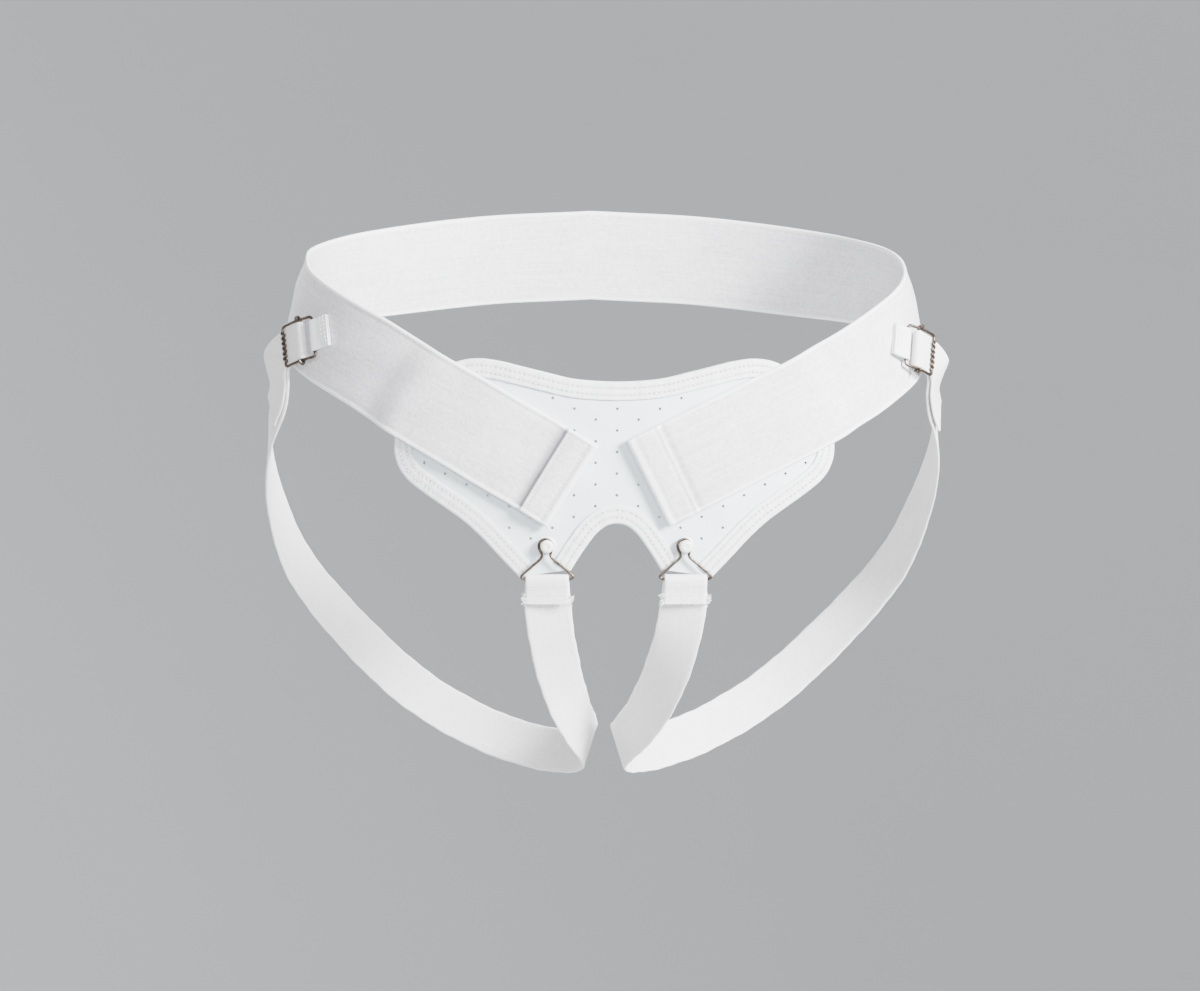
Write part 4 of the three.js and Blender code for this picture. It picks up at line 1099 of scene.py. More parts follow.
@dataclass(frozen=True)
class HookTapeFinish:
    """Ground of a hook tape: close rows of small knots."""

    name: str = "hook_tape"
    light: Colour = (0.80, 0.80, 0.77)
    shade: Colour = (0.48, 0.48, 0.46)
    row_pitch: float = 1.3

    def make(self) -> Material:
        """Builds the material."""
        dye = Dye(self.name)
        _, run, across = dye.pattern()
        knots = dye.times(dye.ripple(run, self.row_pitch), dye.ripple(across, self.row_pitch))
        height = dye.plus(dye.times(knots, 0.5), dye.noise(dye.spot(), 3.0))
        dye.colour(dye.blend(dye.spread(height, 1.0, 0.2), self.light, self.shade))
        dye.roughness(dye.scaled(height, 0.1, 0.75))
        dye.bump(height, 0.4, 0.9)
        return dye.material


@dataclass(frozen=True)
class SteelFinish:
    """Drawn steel wire that has gone brown-grey, with drawing lines and dull spots."""

    name: str = "steel_wire"
    light: Colour = (0.14, 0.112, 0.09)
    shade: Colour = (0.05, 0.04, 0.033)

    def make(self) -> Material:
        """Builds the material."""
        dye = Dye(self.name)
        _, run, around = dye.pattern()
        spots = dye.spread(dye.noise(dye.spot(), 0.55, 5.0), 0.35, 0.68)
        lines = dye.stretched(run, around, 0.35, 9.0)
        dye.colour(dye.blend(spots, self.light, self.shade))
        dye.roughness(dye.scaled(spots, 0.24, dye.scaled(lines, 0.16, 0.2)))
        dye.bump(lines, 0.05, 0.5)
        dye.fixed(metallic=1.0)
        return dye.material


@dataclass(frozen=True)
class MouldedFinish:
    """Moulded white plastic, glossy and slightly yellowed."""

    name: str = "stud_plastic"
    light: Colour = (0.88, 0.87, 0.83)
    shade: Colour = (0.74, 0.72, 0.66)

    def make(self) -> Material:
        """Builds the material."""
        dye = Dye(self.name)
        spot = dye.spot()
        clouds = dye.spread(dye.noise(spot, 0.3, 4.0), 0.35, 0.7)
        dye.colour(dye.blend(dye.times(clouds, 0.5), self.light, self.shade))
        dye.roughness(dye.scaled(clouds, 0.16, 0.2))
        dye.bump(dye.noise(spot, 1.2), 0.04, 0.5)
        dye.fixed(coat_weight=0.25, coat_roughness=0.15)
        return dye.material


@dataclass(frozen=True)
class ThreadFinish:
    """Twisted sewing thread."""

    name: str
    light: Colour
    shade: Colour
    twist_pitch: float = 0.45

    def make(self) -> Material:
        """Builds the material."""
        dye = Dye(self.name)
        spot = dye.spot()
        parts = dye.add("ShaderNodeSeparateXYZ", {0: spot})
        slanted = dye.plus(parts.outputs[0], parts.outputs[2])
        twist = dye.scaled(dye.ripple(slanted, self.twist_pitch), 0.5, 0.5)
        dye.colour(dye.blend(dye.times(twist, 0.5), self.light, self.shade))
        dye.roughness(dye.scaled(twist, 0.15, 0.6))
        dye.bump(twist, 0.08, 0.6)
        dye.fixed(sheen_weight=0.2)
        return dye.material


@dataclass(frozen=True)
class StudioFinish:
    """The pale floor, with the faintest mottling."""

    name: str = "studio_floor"
    light: Colour = (0.80, 0.805, 0.815)
    shade: Colour = (0.785, 0.79, 0.80)

    def make(self) -> Material:
        """Builds the material."""
        dye = Dye(self.name)
        place = dye.add("ShaderNodeTexCoord").outputs["Object"]
        dye.colour(dye.blend(dye.noise(place, 2.0, 3.0), self.light, self.shade))
        dye.fixed(roughness=0.9, specular_ior_level=0.1)
        return dye.material


class Finishes:
    """Every material of the belt, made once."""

    def __init__(self) -> None:
        """Builds the materials."""
        self.waist = ElasticFinish(
            "waist_elastic", (0.93, 0.935, 0.945), (0.44, 0.435, 0.475),
            rib_pitch=1.05, weft_pitch=0.85, rib_depth=0.2, streak_share=0.24,
        ).make()
        self.leg = ElasticFinish(
            "leg_elastic", (0.89, 0.885, 0.88), (0.62, 0.61, 0.62),
            rib_pitch=0.95, weft_pitch=1.1, rib_depth=0.15, streak_share=0.22,
        ).make()
        self.sheet = SheetFinish().make()
        self.tape = TapeFinish().make()
        self.hook_tape = HookTapeFinish().make()
        self.steel = SteelFinish().make()
        self.moulded = MouldedFinish().make()
        self.thread = ThreadFinish("white_thread", (0.9, 0.9, 0.9), (0.62, 0.62, 0.65)).make()
        fibre = ThreadFinish("loose_fibre", (0.88, 0.88, 0.87), (0.7, 0.7, 0.7), twist_pitch=0.9)
        self.fibre = fibre.make()


def dress(piece: Piece, material: Material) -> None:
    """Gives a piece its only material."""
    piece.data.materials.clear()
    piece.data.materials.append(material)


def settle(piece: Piece, slot: str, *nodes: str) -> None:
    """Lets a piece ride on the belt's body and stand for its solids.

    Args:
        piece: The finished piece.
        slot: The record's material slot, which is only logged.
        nodes: The solids that it stands for.
    """
    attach(piece, BODY)
    if nodes:
        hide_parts(*nodes)
    count = len(piece.data.polygons)
    LOG.info("%s: %d faces, slot %s, for %s", piece.name, count, slot, nodes or "detail")


def make_piece(
    shell: Shell, name: str, material: Material, slot: str, node: str, crease: float = CREASE
) -> None:
    """Makes a finished piece of a closed body.

    Args:
        shell: The body.
        name: The piece's name.
        material: Its material.
        slot: The record's material slot.
        node: The solid that it stands for.
        crease: Angle in degrees past which an edge is shaded sharp.
    """
    piece = shell.build(name, crease)
    dress(piece, material)
    settle(piece, slot, node)


@dataclass(frozen=True)
class Stitch:
    """A stitch: its distance from the next, its length and width, and the seed of its unevenness."""

    pitch: float
    length: float
    width: float
    seed: int
    unevenness: float = 0.15


@dataclass(frozen=True)
class Fray:
    """Fibres of a cut end: their length, width and pitch, and the seed of their lie."""

    length: float
    width: float
    pitch: float
    seed: int
    curl: float = 0.45


class Sewing:
    """Sews rows of stitches, and frays cut ends."""

    def __init__(self, finishes: Finishes) -> None:
        """Builds the two trees."""
        self.finishes = finishes
        self.stitches = StitchModeller()
        self.frays = FrayModeller()

    def rows(self, name: str, lines: list[Array], normals: list[Array], stitch: Stitch, slot: str) -> None:
        """Sews stitches along lines on a surface.

        Args:
            name: The piece's name.
            lines: Points of each row.
            normals: Direction out of the cloth at each point.
            stitch: The stitch.
            slot: The record's material slot.
        """
        values = {
            "Pitch": stitch.pitch * MM,
            "Stitch Length": stitch.length * MM,
            "Thread Width": stitch.width * MM,
            "Unevenness": stitch.unevenness,
            "Seed": stitch.seed,
            "Material": self.finishes.thread,
        }
        settle(self.stitches.run(carrier_of(name, lines, normals), name, values), slot)

    def fray(self, name: str, lines: list[Array], outs: list[Array], fray: Fray) -> None:
        """Lets fibres stand out of a cut end of a leg strap.

        Args:
            name: The piece's name.
            lines: The cut end's lines.
            outs: Direction in which the fibres stand at each point.
            fray: The fibres.
        """
        values = {
            "Fibre Length": fray.length * MM,
            "Fibre Width": fray.width * MM,
            "Curl": fray.curl,
            "Pitch": fray.pitch * MM,
            "Seed": fray.seed,
            "Material": self.finishes.fibre,
        }
        settle(self.frays.run(carrier_of(name, lines, outs), name, values), "leg_elastic")


# Sub-assemblies


@dataclass
class Layers:
    """Thicknesses of what is stacked on the body, and how far off it each layer lies."""

    gap: float = 0.3
    tape: float = 0.7
    sheet: float = 2.4
    patch: float = 1.0
    band: float = 1.8
    flange: float = 1.0
    hook_wire: float = 1.5
    hook_room: float = 0.1

    def __post_init__(self) -> None:
        """Works out the lifts off the body, each from the one under it."""
        # The panel's back and front, then the back of what lies on it
        self.sheet_lift = self.tape + self.gap
        self.sheet_face = self.sheet_lift + self.sheet
        self.patch_lift = self.sheet_face + self.gap
        # The waistband's back on the panel, and its front on the body
        self.band_on_panel = self.patch_lift + self.patch + self.gap
        self.band_face = self.gap + self.band
        # The front of a stud's flange, the hook's centreline and the back of the stud's head
        self.flange_top = self.patch_lift + self.flange
        self.hook = self.flange_top + self.gap + self.hook_room + self.hook_wire / 2
        self.stud_head = self.hook + self.hook_wire / 2 + self.hook_room + self.gap


@dataclass
class FrontPanel:
    """The perforated sheet and the two folded tapes round its edges."""

    arcs: ArcMap
    pattern: Pattern
    layers: Layers
    finishes: Finishes
    sewing: Sewing
    edge_spacing: float = 0.5
    rows: int = 44
    column_spacing: float = 1.9
    wing_columns: int = 46
    wing_end_inset: float = 0.4
    dent_depth: float = 0.5
    dent_reach: float = 14.0
    hole_diameter: float = 1.5
    hole_pitch_across: float = 10.9
    hole_pitch_down: float = 11.0
    hole_top_row: float = -35.5
    hole_margin: float = 1.8
    bore_diameter: float = 3.6
    pin_overshoot: float = 4.0
    bore_crease: float = 35.0
    fold_rounding: float = 1.3
    crown_rise: float = 0.1
    stitch: Stitch = Stitch(pitch=2.5, length=1.9, width=0.55, seed=11)
    stitch_rows: tuple[float, float] = (2.4, 5.9)
    stitch_depth: float = 0.18
    stitch_lift: float = 0.04
    groove_reach: float = 0.9

    def _bounds_at(self, across: Array) -> tuple[Array, Array]:
        """Lower and upper height of the sheet.

        Args:
            across: Places across in the flat pattern.

        Returns:
            The heights of its lower and its upper edge there.
        """
        pattern = self.pattern
        edge = pattern.outer_edge(self.edge_spacing)
        half = edge[: (len(edge) + 1) // 2]
        widest = int(np.argmax(half[:, 0]))
        low_edge, high_edge = half[: widest + 1], half[widest:]
        arch = pattern.arch_edge(self.edge_spacing)
        arch = arch[len(arch) // 2 :]
        reach = np.abs(across)
        high = np.interp(reach, high_edge[::-1, 0], high_edge[::-1, 1])
        wing = np.interp(reach, low_edge[:, 0], low_edge[:, 1])
        arched = np.interp(reach, arch[:, 0], arch[:, 1])
        share = (reach - pattern.arch_half_width) / (pattern.tip_half_width - pattern.arch_half_width)
        corner = pattern.arch_top - pattern.arch_height
        tip = corner + (pattern.bottom - corner) * share
        beside = np.where(reach > pattern.tip_half_width, wing, tip)
        return np.where(reach < pattern.arch_half_width, arched, beside), high

    def _sheet(self) -> Shell:
        """The sheet before it is perforated, with soft dents in its front."""
        pattern, layers = self.pattern, self.layers
        reach = pattern.outer_edge(self.edge_spacing)[:, 0].max() - self.wing_end_inset
        tip = pattern.tip_half_width
        inner = np.linspace(0, tip, math.ceil(tip / self.column_spacing) + 1)
        turn = np.linspace(0, math.pi / 2, self.wing_columns)
        share = np.sin(turn)[1:] * 0.6 + np.linspace(0, 1, self.wing_columns)[1:] * 0.4
        half = np.concatenate([inner, tip + (reach - tip) * share])
        across = np.concatenate([-half[:0:-1], half])
        low, high = self._bounds_at(across)
        share = np.linspace(0, 1, self.rows + 1)[None, :]
        heights = low[:, None] + (high - low)[:, None] * share
        spread = np.broadcast_to(across[:, None], heights.shape)
        flat = np.column_stack([spread.ravel(), heights.ravel()])
        from_edge = distance_to_line(flat, pattern.loop(), True).reshape(heights.shape)
        calm = ease((from_edge - pattern.binding_width * 0.8) / self.dent_reach)
        dents = wave(spread, 61, 0.2) * wave(heights, 47, 0.1)
        dents = dents + 0.6 * wave(spread + 0.8 * heights, 33, 0.6)
        front_lift = layers.sheet_face + self.dent_depth * 0.6 * calm * dents
        back = self.arcs.wrapped(spread, heights, layers.sheet_lift)
        front = self.arcs.wrapped(spread, heights, front_lift)
        return loft(np.concatenate([back, front[:, ::-1]], axis=1))

    def _hole_places(self) -> Array:
        """Centres of the perforations: a staggered grid, kept clear of the bindings and studs."""
        pattern = self.pattern
        columns = math.floor(pattern.half_width / self.hole_pitch_across)
        rows = math.ceil(pattern.height / self.hole_pitch_down)
        grid = [
            (
                i * self.hole_pitch_across,
                self.hole_top_row - (j + 0.5 * (abs(i) % 2)) * self.hole_pitch_down,
            )
            for i in range(-columns, columns + 1)
            for j in range(-2, rows)
        ]
        places = np.array(grid)
        outer, arch = pattern.outer_edge(pattern.spacing), pattern.arch_edge(pattern.spacing)
        room = pattern.binding_width + self.hole_margin
        mirrored = np.column_stack([np.abs(places[:, 0]), places[:, 1]])
        from_stud = np.linalg.norm(mirrored - [pattern.stud_across, pattern.stud_height], axis=1)
        clear = (
            is_inside(places, pattern.loop())
            & (distance_to_line(places, outer) > room)
            & (distance_to_line(places, arch) > room)
            & (from_stud > pattern.flange_diameter / 2 + self.hole_diameter)
        )
        return places[clear]

    def _pins(self, name: str, places: Array) -> Piece:
        """Points in the sheet's middle with its normals, for the perforations."""
        across, height = places[:, 0], places[:, 1]
        middle = (self.layers.sheet_lift + self.layers.sheet_face) / 2
        points = self.arcs.wrapped(across, height, middle)
        normals = self.arcs.hips.frame(self.arcs.angle(across, height), height)[3]
        return carrier_of(name, list(points[:, None, :]), list(normals[:, None, :]))

    def build_sheet(self) -> None:
        """Makes the sheet and cuts its perforations and the two bores of the studs."""
        panel = self._sheet().build("panel_blank")
        # The mark for painted shade on hole walls starts at zero on the sheet's own faces
        panel.data.attributes.new("bore", "FLOAT", "FACE")
        across, height = self.pattern.stud_across, self.pattern.stud_height
        studs = np.array([[-across, height], [across, height]])
        modeller = PerforationModeller()
        for label, places, diameter, name in (
            ("hole_places", self._hole_places(), self.hole_diameter, "panel_cut"),
            ("bore_places", studs, self.bore_diameter, "perforated_panel"),
        ):
            pins = self._pins(label, places)
            values = {
                "Places": pins,
                "Hole Diameter": diameter * MM,
                "Depth": (self.layers.sheet + self.pin_overshoot) * MM,
                "Material": self.finishes.sheet,
            }
            panel = modeller.run(panel, name, values)
            bpy.data.objects.remove(pins)
        dress(panel, self.finishes.sheet)
        panel.data.set_sharp_from_angle(angle=math.radians(self.bore_crease))
        settle(panel, "panel_sheet", "front_panel")

    def _binding_section(self) -> tuple[Array, Array]:
        """Corners of the folded tape, inward from the panel's edge and lift, and its sewn grooves."""
        tape, gap, width = self.layers.tape, self.layers.gap, self.pattern.binding_width
        bend = gap + tape
        top = self.layers.sheet_face + bend
        lip = tape * 0.42
        rounding = self.fold_rounding
        turn = np.radians(np.linspace(90, 180, 7))
        inward = rounding - bend + rounding * np.cos(turn)
        upper = np.column_stack([inward, top - rounding + rounding * np.sin(turn)])
        lower = np.column_stack([upper[::-1, 0], top - upper[::-1, 1]])
        flat_in = np.linspace(width - lip, rounding - bend + 0.4, 27)
        sunk = sum(hill(flat_in, inset, self.groove_reach) for inset in self.stitch_rows)
        crown = top + self.crown_rise * wave(flat_in - flat_in[-1], 2 * width) - self.stitch_depth * sunk
        over = np.column_stack([flat_in, crown])
        under = np.column_stack([flat_in[::-1], np.zeros(len(flat_in))])
        low_side = [(width, tape * 0.3), (width, tape * 0.7), (width - lip, tape), (-gap, tape)]
        high_side = [(inset, top - lift) for inset, lift in low_side[::-1]]
        section = np.vstack([over, upper, lower, under, low_side, high_side])
        return section, np.concatenate([sunk, np.zeros(len(section) - len(sunk))])

    def build_binding(self, name: str, node: str, edge: Array) -> None:
        """Makes a folded tape along an edge, and sews it.

        Args:
            name: The piece's name.
            node: The solid that it stands for.
            edge: The edge in the flat pattern, with the panel on its left.
        """
        section, sunk = self._binding_section()
        along = tangents(edge)
        inwards = np.column_stack([-along[:, 1], along[:, 0]])
        run = lengths_along(edge, 2)
        pucker = 0.1 * wave(run, 7.3) + 0.08 * wave(run, 17.0, 0.3)
        flat = edge[:, None, :] + section[None, :, :1] * inwards[:, None, :]
        above = ease((section[:, 1] - self.layers.sheet_face) / self.layers.gap)
        lifts = section[None, :, 1] + pucker[:, None] * above[None, :]
        rings = self.arcs.wrapped(flat[..., 0], flat[..., 1], lifts)
        places = pattern_places(run, lengths_along(section, 2))
        # Painted shade follows the sewn grooves
        marks = {"seam": np.broadcast_to(sunk[None, :], places.shape[:2])}
        shell = loft(rings, False, places, marks)
        make_piece(shell, name, self.finishes.tape, "binding_tape", node, crease=50)
        top = self.layers.sheet_face + self.layers.gap + self.layers.tape
        rows = [edge + inset * inwards for inset in self.stitch_rows]
        lifts = top + self.stitch_lift + pucker
        lines = [self.arcs.wrapped(row[:, 0], row[:, 1], lifts) for row in rows]
        normals = [self.arcs.hips.normal_at(line) for line in lines]
        self.sewing.rows(f"{name}_stitches", lines, normals, self.stitch, "binding_tape")

    def build(self) -> None:
        """Makes the sheet and both tapes."""
        self.build_sheet()
        self.build_binding("outer_edge_tape", "outer_binding", self.pattern.outer_edge(1.6))
        self.build_binding("arch_edge_tape", "arch_binding", self.pattern.arch_edge(1.2))


@dataclass
class Waistband:
    """The wide elastic with its folded ends, and the hook tapes under them."""

    arcs: ArcMap
    pattern: Pattern
    layers: Layers
    finishes: Finishes
    sewing: Sewing
    width: float = 49.0
    front_level: float = -75.0
    rise: float = 127.0
    hem_length: float = 17.0
    hem_thickness: float = 1.5
    drop_length: float = 20.0
    patch_length: float = 45.0
    patch_inset: float = 3.0
    selvedge_width: float = 2.4
    selvedge_rise: float = 0.28
    edge_radius: float = 0.9
    fold_seam: float = 4.7
    hem_seam: float = 1.8
    stitch: Stitch = Stitch(pitch=2.1, length=1.7, width=0.5, seed=5)
    stitch_lift: float = 0.06
    seam_end: float = 1.6
    fine_length: float = 22.0
    spacing: float = 2.4
    columns: int = 34
    route_steps: int = 399
    reach: float = 3.0

    # Turn round the body from the front in degrees, and rise as a share
    LINES = {
        Side.RIGHT: [
            (12.3, 0), (20.7, 0.08), (30.2, 0.172), (37.6, 0.254), (44.9, 0.338), (51, 0.411),
            (58.9, 0.509), (68.4, 0.607), (78, 0.69), (90, 0.765), (105, 0.835), (122, 0.9),
            (150, 0.972), (180, 1),
        ],
        Side.LEFT: [
            (8.5, 0.013), (19.9, 0.098), (31.8, 0.198), (42.7, 0.299), (51.1, 0.384), (57.6, 0.454),
            (63.6, 0.524), (69.8, 0.591), (79, 0.68), (90, 0.76), (105, 0.835), (122, 0.9),
            (150, 0.972), (180, 1),
        ],
    }

    def __post_init__(self) -> None:
        """Lays out the route from the right end round the back to the left end."""
        halves = []
        for side in (Side.RIGHT, Side.LEFT):
            turns = np.linspace(self.LINES[side][0][0], 180, self.route_steps + 1)
            halves.append(self.arcs.hips.point(side.value * np.radians(turns), self.height(side, turns)))
        self.route = np.vstack([halves[0], halves[1][::-1][1:]])
        self.lengths = lengths_along(self.route)
        self.total = self.lengths[-1]
        self.loop = self.pattern.loop()

    def height(self, side: Side, turns: Array | float) -> Array:
        """Height of the middle line at turns in degrees."""
        return self.front_level + self.rise * SmoothTable(self.LINES[side], 1).at(turns)

    def places(self, stops: Array) -> tuple[Array, Array]:
        """Middle of the band and direction of its width at distances from the right end."""

        def at(distances: Array) -> Array:
            """Points of the route."""
            return read_along(self.route, self.lengths, np.clip(distances, 0, self.total))

        middle = at(stops)
        run = unit(at(stops + self.reach) - at(stops - self.reach))
        return middle, unit(np.cross(run, self.arcs.hips.normal_at(middle)))

    def from_end(self, stops: Array) -> Array:
        """Distances from the nearer end."""
        return np.minimum(stops, self.total - stops)

    def lift(self, feet: Array) -> Array:
        """How high the waistband lies: on the panel it is raised, and beyond it comes down."""
        angle = np.arctan2(feet[:, 0], -feet[:, 1])
        flat = np.column_stack([self.arcs.arc(angle, feet[:, 2]), feet[:, 2]])
        outside = np.where(is_inside(flat, self.loop), 0, distance_to_line(flat, self.loop, True))
        share = ease(1 - (outside - self.pattern.binding_width / 4) / self.drop_length)
        return self.layers.gap + (self.layers.band_on_panel - self.layers.gap) * share

    def _stops(self) -> Array:
        """Stations along the band, close together in the hems."""
        fine = self.fine_length
        fold = [0, 0.05, 0.2, 0.45, 0.8, 1.2, 1.7]
        pillow, plain, edge = np.arange(2.2, 7, 0.6), np.arange(7, 14, 1.4), np.arange(14, fine, 0.4)
        hem = np.concatenate([fold, pillow, plain, edge])
        count = round((self.total - 2 * fine) / self.spacing)
        middle = np.linspace(fine, self.total - fine, count + 1)
        return np.concatenate([hem, middle, self.total - hem[::-1]])

    def _thickness(self, from_end: Array) -> Array:
        """Thickness of the band at distances from its nearer end, without the fold's rounding."""
        hem = self.hem_length
        step = 1 - ease((from_end - hem + 0.3) / 1.4)
        pillow = 0.35 * hill(from_end, 2.2, 2.8) - 0.3 * hill(from_end, self.fold_seam, 1.5)
        plump = 0.22 * hill(from_end, 10.8, 6.5)
        groove = -0.42 * hill(from_end, hem + 1.8, 3.0)
        seam = -0.3 * hill(from_end, hem - self.hem_seam, 1.3)
        return self.layers.band + self.hem_thickness * step + pillow + plump + groove + seam

    def _fullness(self, stops: Array, across: Array) -> Array:
        """Thickness at places, with the cloth's unevenness and the selvedges."""
        from_end = self.from_end(stops)
        dip = hill(np.abs(across), self.width / 2 - self.selvedge_width - 0.5, 1.2)
        soft = 0.16 * wave(across, 23, stops / 61) + 0.2 * wave(stops + 0.35 * across, 47)
        loose = soft + self.selvedge_rise * self._rim(across) - 0.14 * dip
        return self._thickness(from_end) + loose * ease(from_end / 8)

    def _rim(self, across: Array) -> Array:
        """Share of the selvedge at places across."""
        return ease((np.abs(across) - self.width / 2 + self.selvedge_width) / 0.8)

    def _seam(self, stops: Array, across: Array) -> Array:
        """Painted shade in the hems' grooves and seam rows, most at the right end and weak on the
        selvedges.
        """
        from_end = self.from_end(stops)
        past = from_end - self.hem_length
        # Painted shade of the hem's step falls just past the hem
        groove = ease((6.3 - past) / 4.2) * ease((past + 0.5) / 0.9)
        fold_row = 0.4 * hill(from_end, self.fold_seam, 0.9)
        rows = fold_row + 0.3 * hill(from_end, self.hem_length - self.hem_seam, 0.8)
        share = np.where(stops < self.total / 2, 0.9, 0.25) * (1 - 0.9 * self._rim(across))
        return np.clip(groove + rows, 0, 1) * share

    def _section(self) -> tuple[Array, Array]:
        """Across places and shares of the thickness round the band's section."""
        radius = self.edge_radius
        reach = self.width / 2 - radius
        near_edge = [-reach + 0.7, reach - 0.7, -reach + 1.9, reach - 1.9]
        across = np.sort(np.concatenate([np.linspace(-reach, reach, self.columns), near_edge]))
        turn = np.radians(np.linspace(90, -90, 7)[1:-1])
        far = reach + radius * np.cos(turn)
        height = 0.5 + 0.5 * np.sin(turn)
        xs = np.concatenate([across, far, across[::-1], -far[::-1]])
        ys = np.concatenate([np.ones(len(across)), height, np.zeros(len(across)), height[::-1]])
        return xs, ys

    def _feet(self, stops: Array, across: Array) -> Array:
        """Points of the route spread over the band's width, as stop, place across, coordinate."""
        middle, rise = self.places(stops)
        return middle[:, None, :] + across[None, :, None] * rise[:, None, :]

    def _band(self) -> Shell:
        """The whole band."""
        stops = self._stops()
        guide = np.linspace(-self.width / 2, self.width / 2, 9)
        feet = self._feet(stops, guide)
        lifts = self.lift(feet.reshape(-1, 3)).reshape(feet.shape[:2])
        xs, ys = self._section()
        from_end = self.from_end(stops)
        fullness = self._fullness(stops[:, None], xs[None, :])
        fold = (self.layers.band + self.hem_thickness) / 2
        inside = np.clip(1 - from_end / fold, 0, 1)
        round_share = np.sqrt(np.clip(1 - inside**2, 0.0004, 1))
        base = np.array([np.interp(xs, guide, row) for row in lifts])
        lift = base + fullness / 2 + (ys - 0.5) * fullness * round_share[:, None]
        rings = self.arcs.hips.laid(self._feet(stops, xs), lift)
        # Painted highlight along the selvedges and folded ends, and painted shade in the hems' grooves and
        # seam rows
        fold_highlight = ease((3.4 - from_end) / 1.2)
        rim_highlights = np.maximum(self._rim(xs)[None, :], fold_highlight[:, None])
        marks = {"rim": rim_highlights, "seam": self._seam(stops[:, None], xs[None, :])}
        return loft(rings, False, pattern_places(stops, xs), marks)

    def _surface(self, stops: Array, across: Array) -> Array:
        """Points on the band's front at distances from the right end and places across."""
        middle, rise = self.places(stops)
        feet = middle + across[:, None] * rise
        lift = self.lift(feet) + self._fullness(stops, across) + self.stitch_lift
        return self.arcs.hips.laid(feet, lift)

    def build_stitches(self) -> None:
        """Sews the hems down: a row near each fold and one near each hem's edge."""
        reach = self.width / 2 - self.seam_end
        across = np.linspace(-reach, reach, 40)
        lines = []
        for inset in (self.fold_seam, self.hem_length - self.hem_seam):
            for stop in (inset, self.total - inset):
                lines.append(self._surface(np.full(len(across), stop), across))
        normals = [self.arcs.hips.normal_at(line) for line in lines]
        self.sewing.rows("waistband_stitches", lines, normals, self.stitch, "waist_elastic")

    def build_patch(self, side: Side) -> None:
        """Makes the hook tape under the end on a side."""
        near, far = self.patch_inset, self.patch_inset + self.patch_length
        ends = (near, far) if side is Side.RIGHT else (self.total - far, self.total - near)
        stops = np.linspace(*ends, 24)
        half = self.width / 2 - self.patch_inset
        across = np.linspace(-half, half, 14)
        feet = self._feet(stops, across)
        inner = self.arcs.hips.laid(feet, self.layers.patch_lift)
        outer = self.arcs.hips.laid(feet, self.layers.patch_lift + self.layers.patch)
        rings = np.concatenate([inner, outer[:, ::-1]], axis=1)
        shell = loft(rings, False, pattern_places(stops, np.concatenate([across, across[::-1]])))
        name, node = f"hook_tape_{side.label}", f"hook_patch_{side.label}"
        make_piece(shell, name, self.finishes.hook_tape, "hook_tape", node)

    def build(self) -> None:
        """Makes the band, its stitches and both hook tapes."""
        name, slot = "waist_elastic_band", "waist_elastic"
        make_piece(self._band(), name, self.finishes.waist, slot, "waistband", crease=55)
        self.build_stitches()
        for side in Side:
            self.build_patch(side)


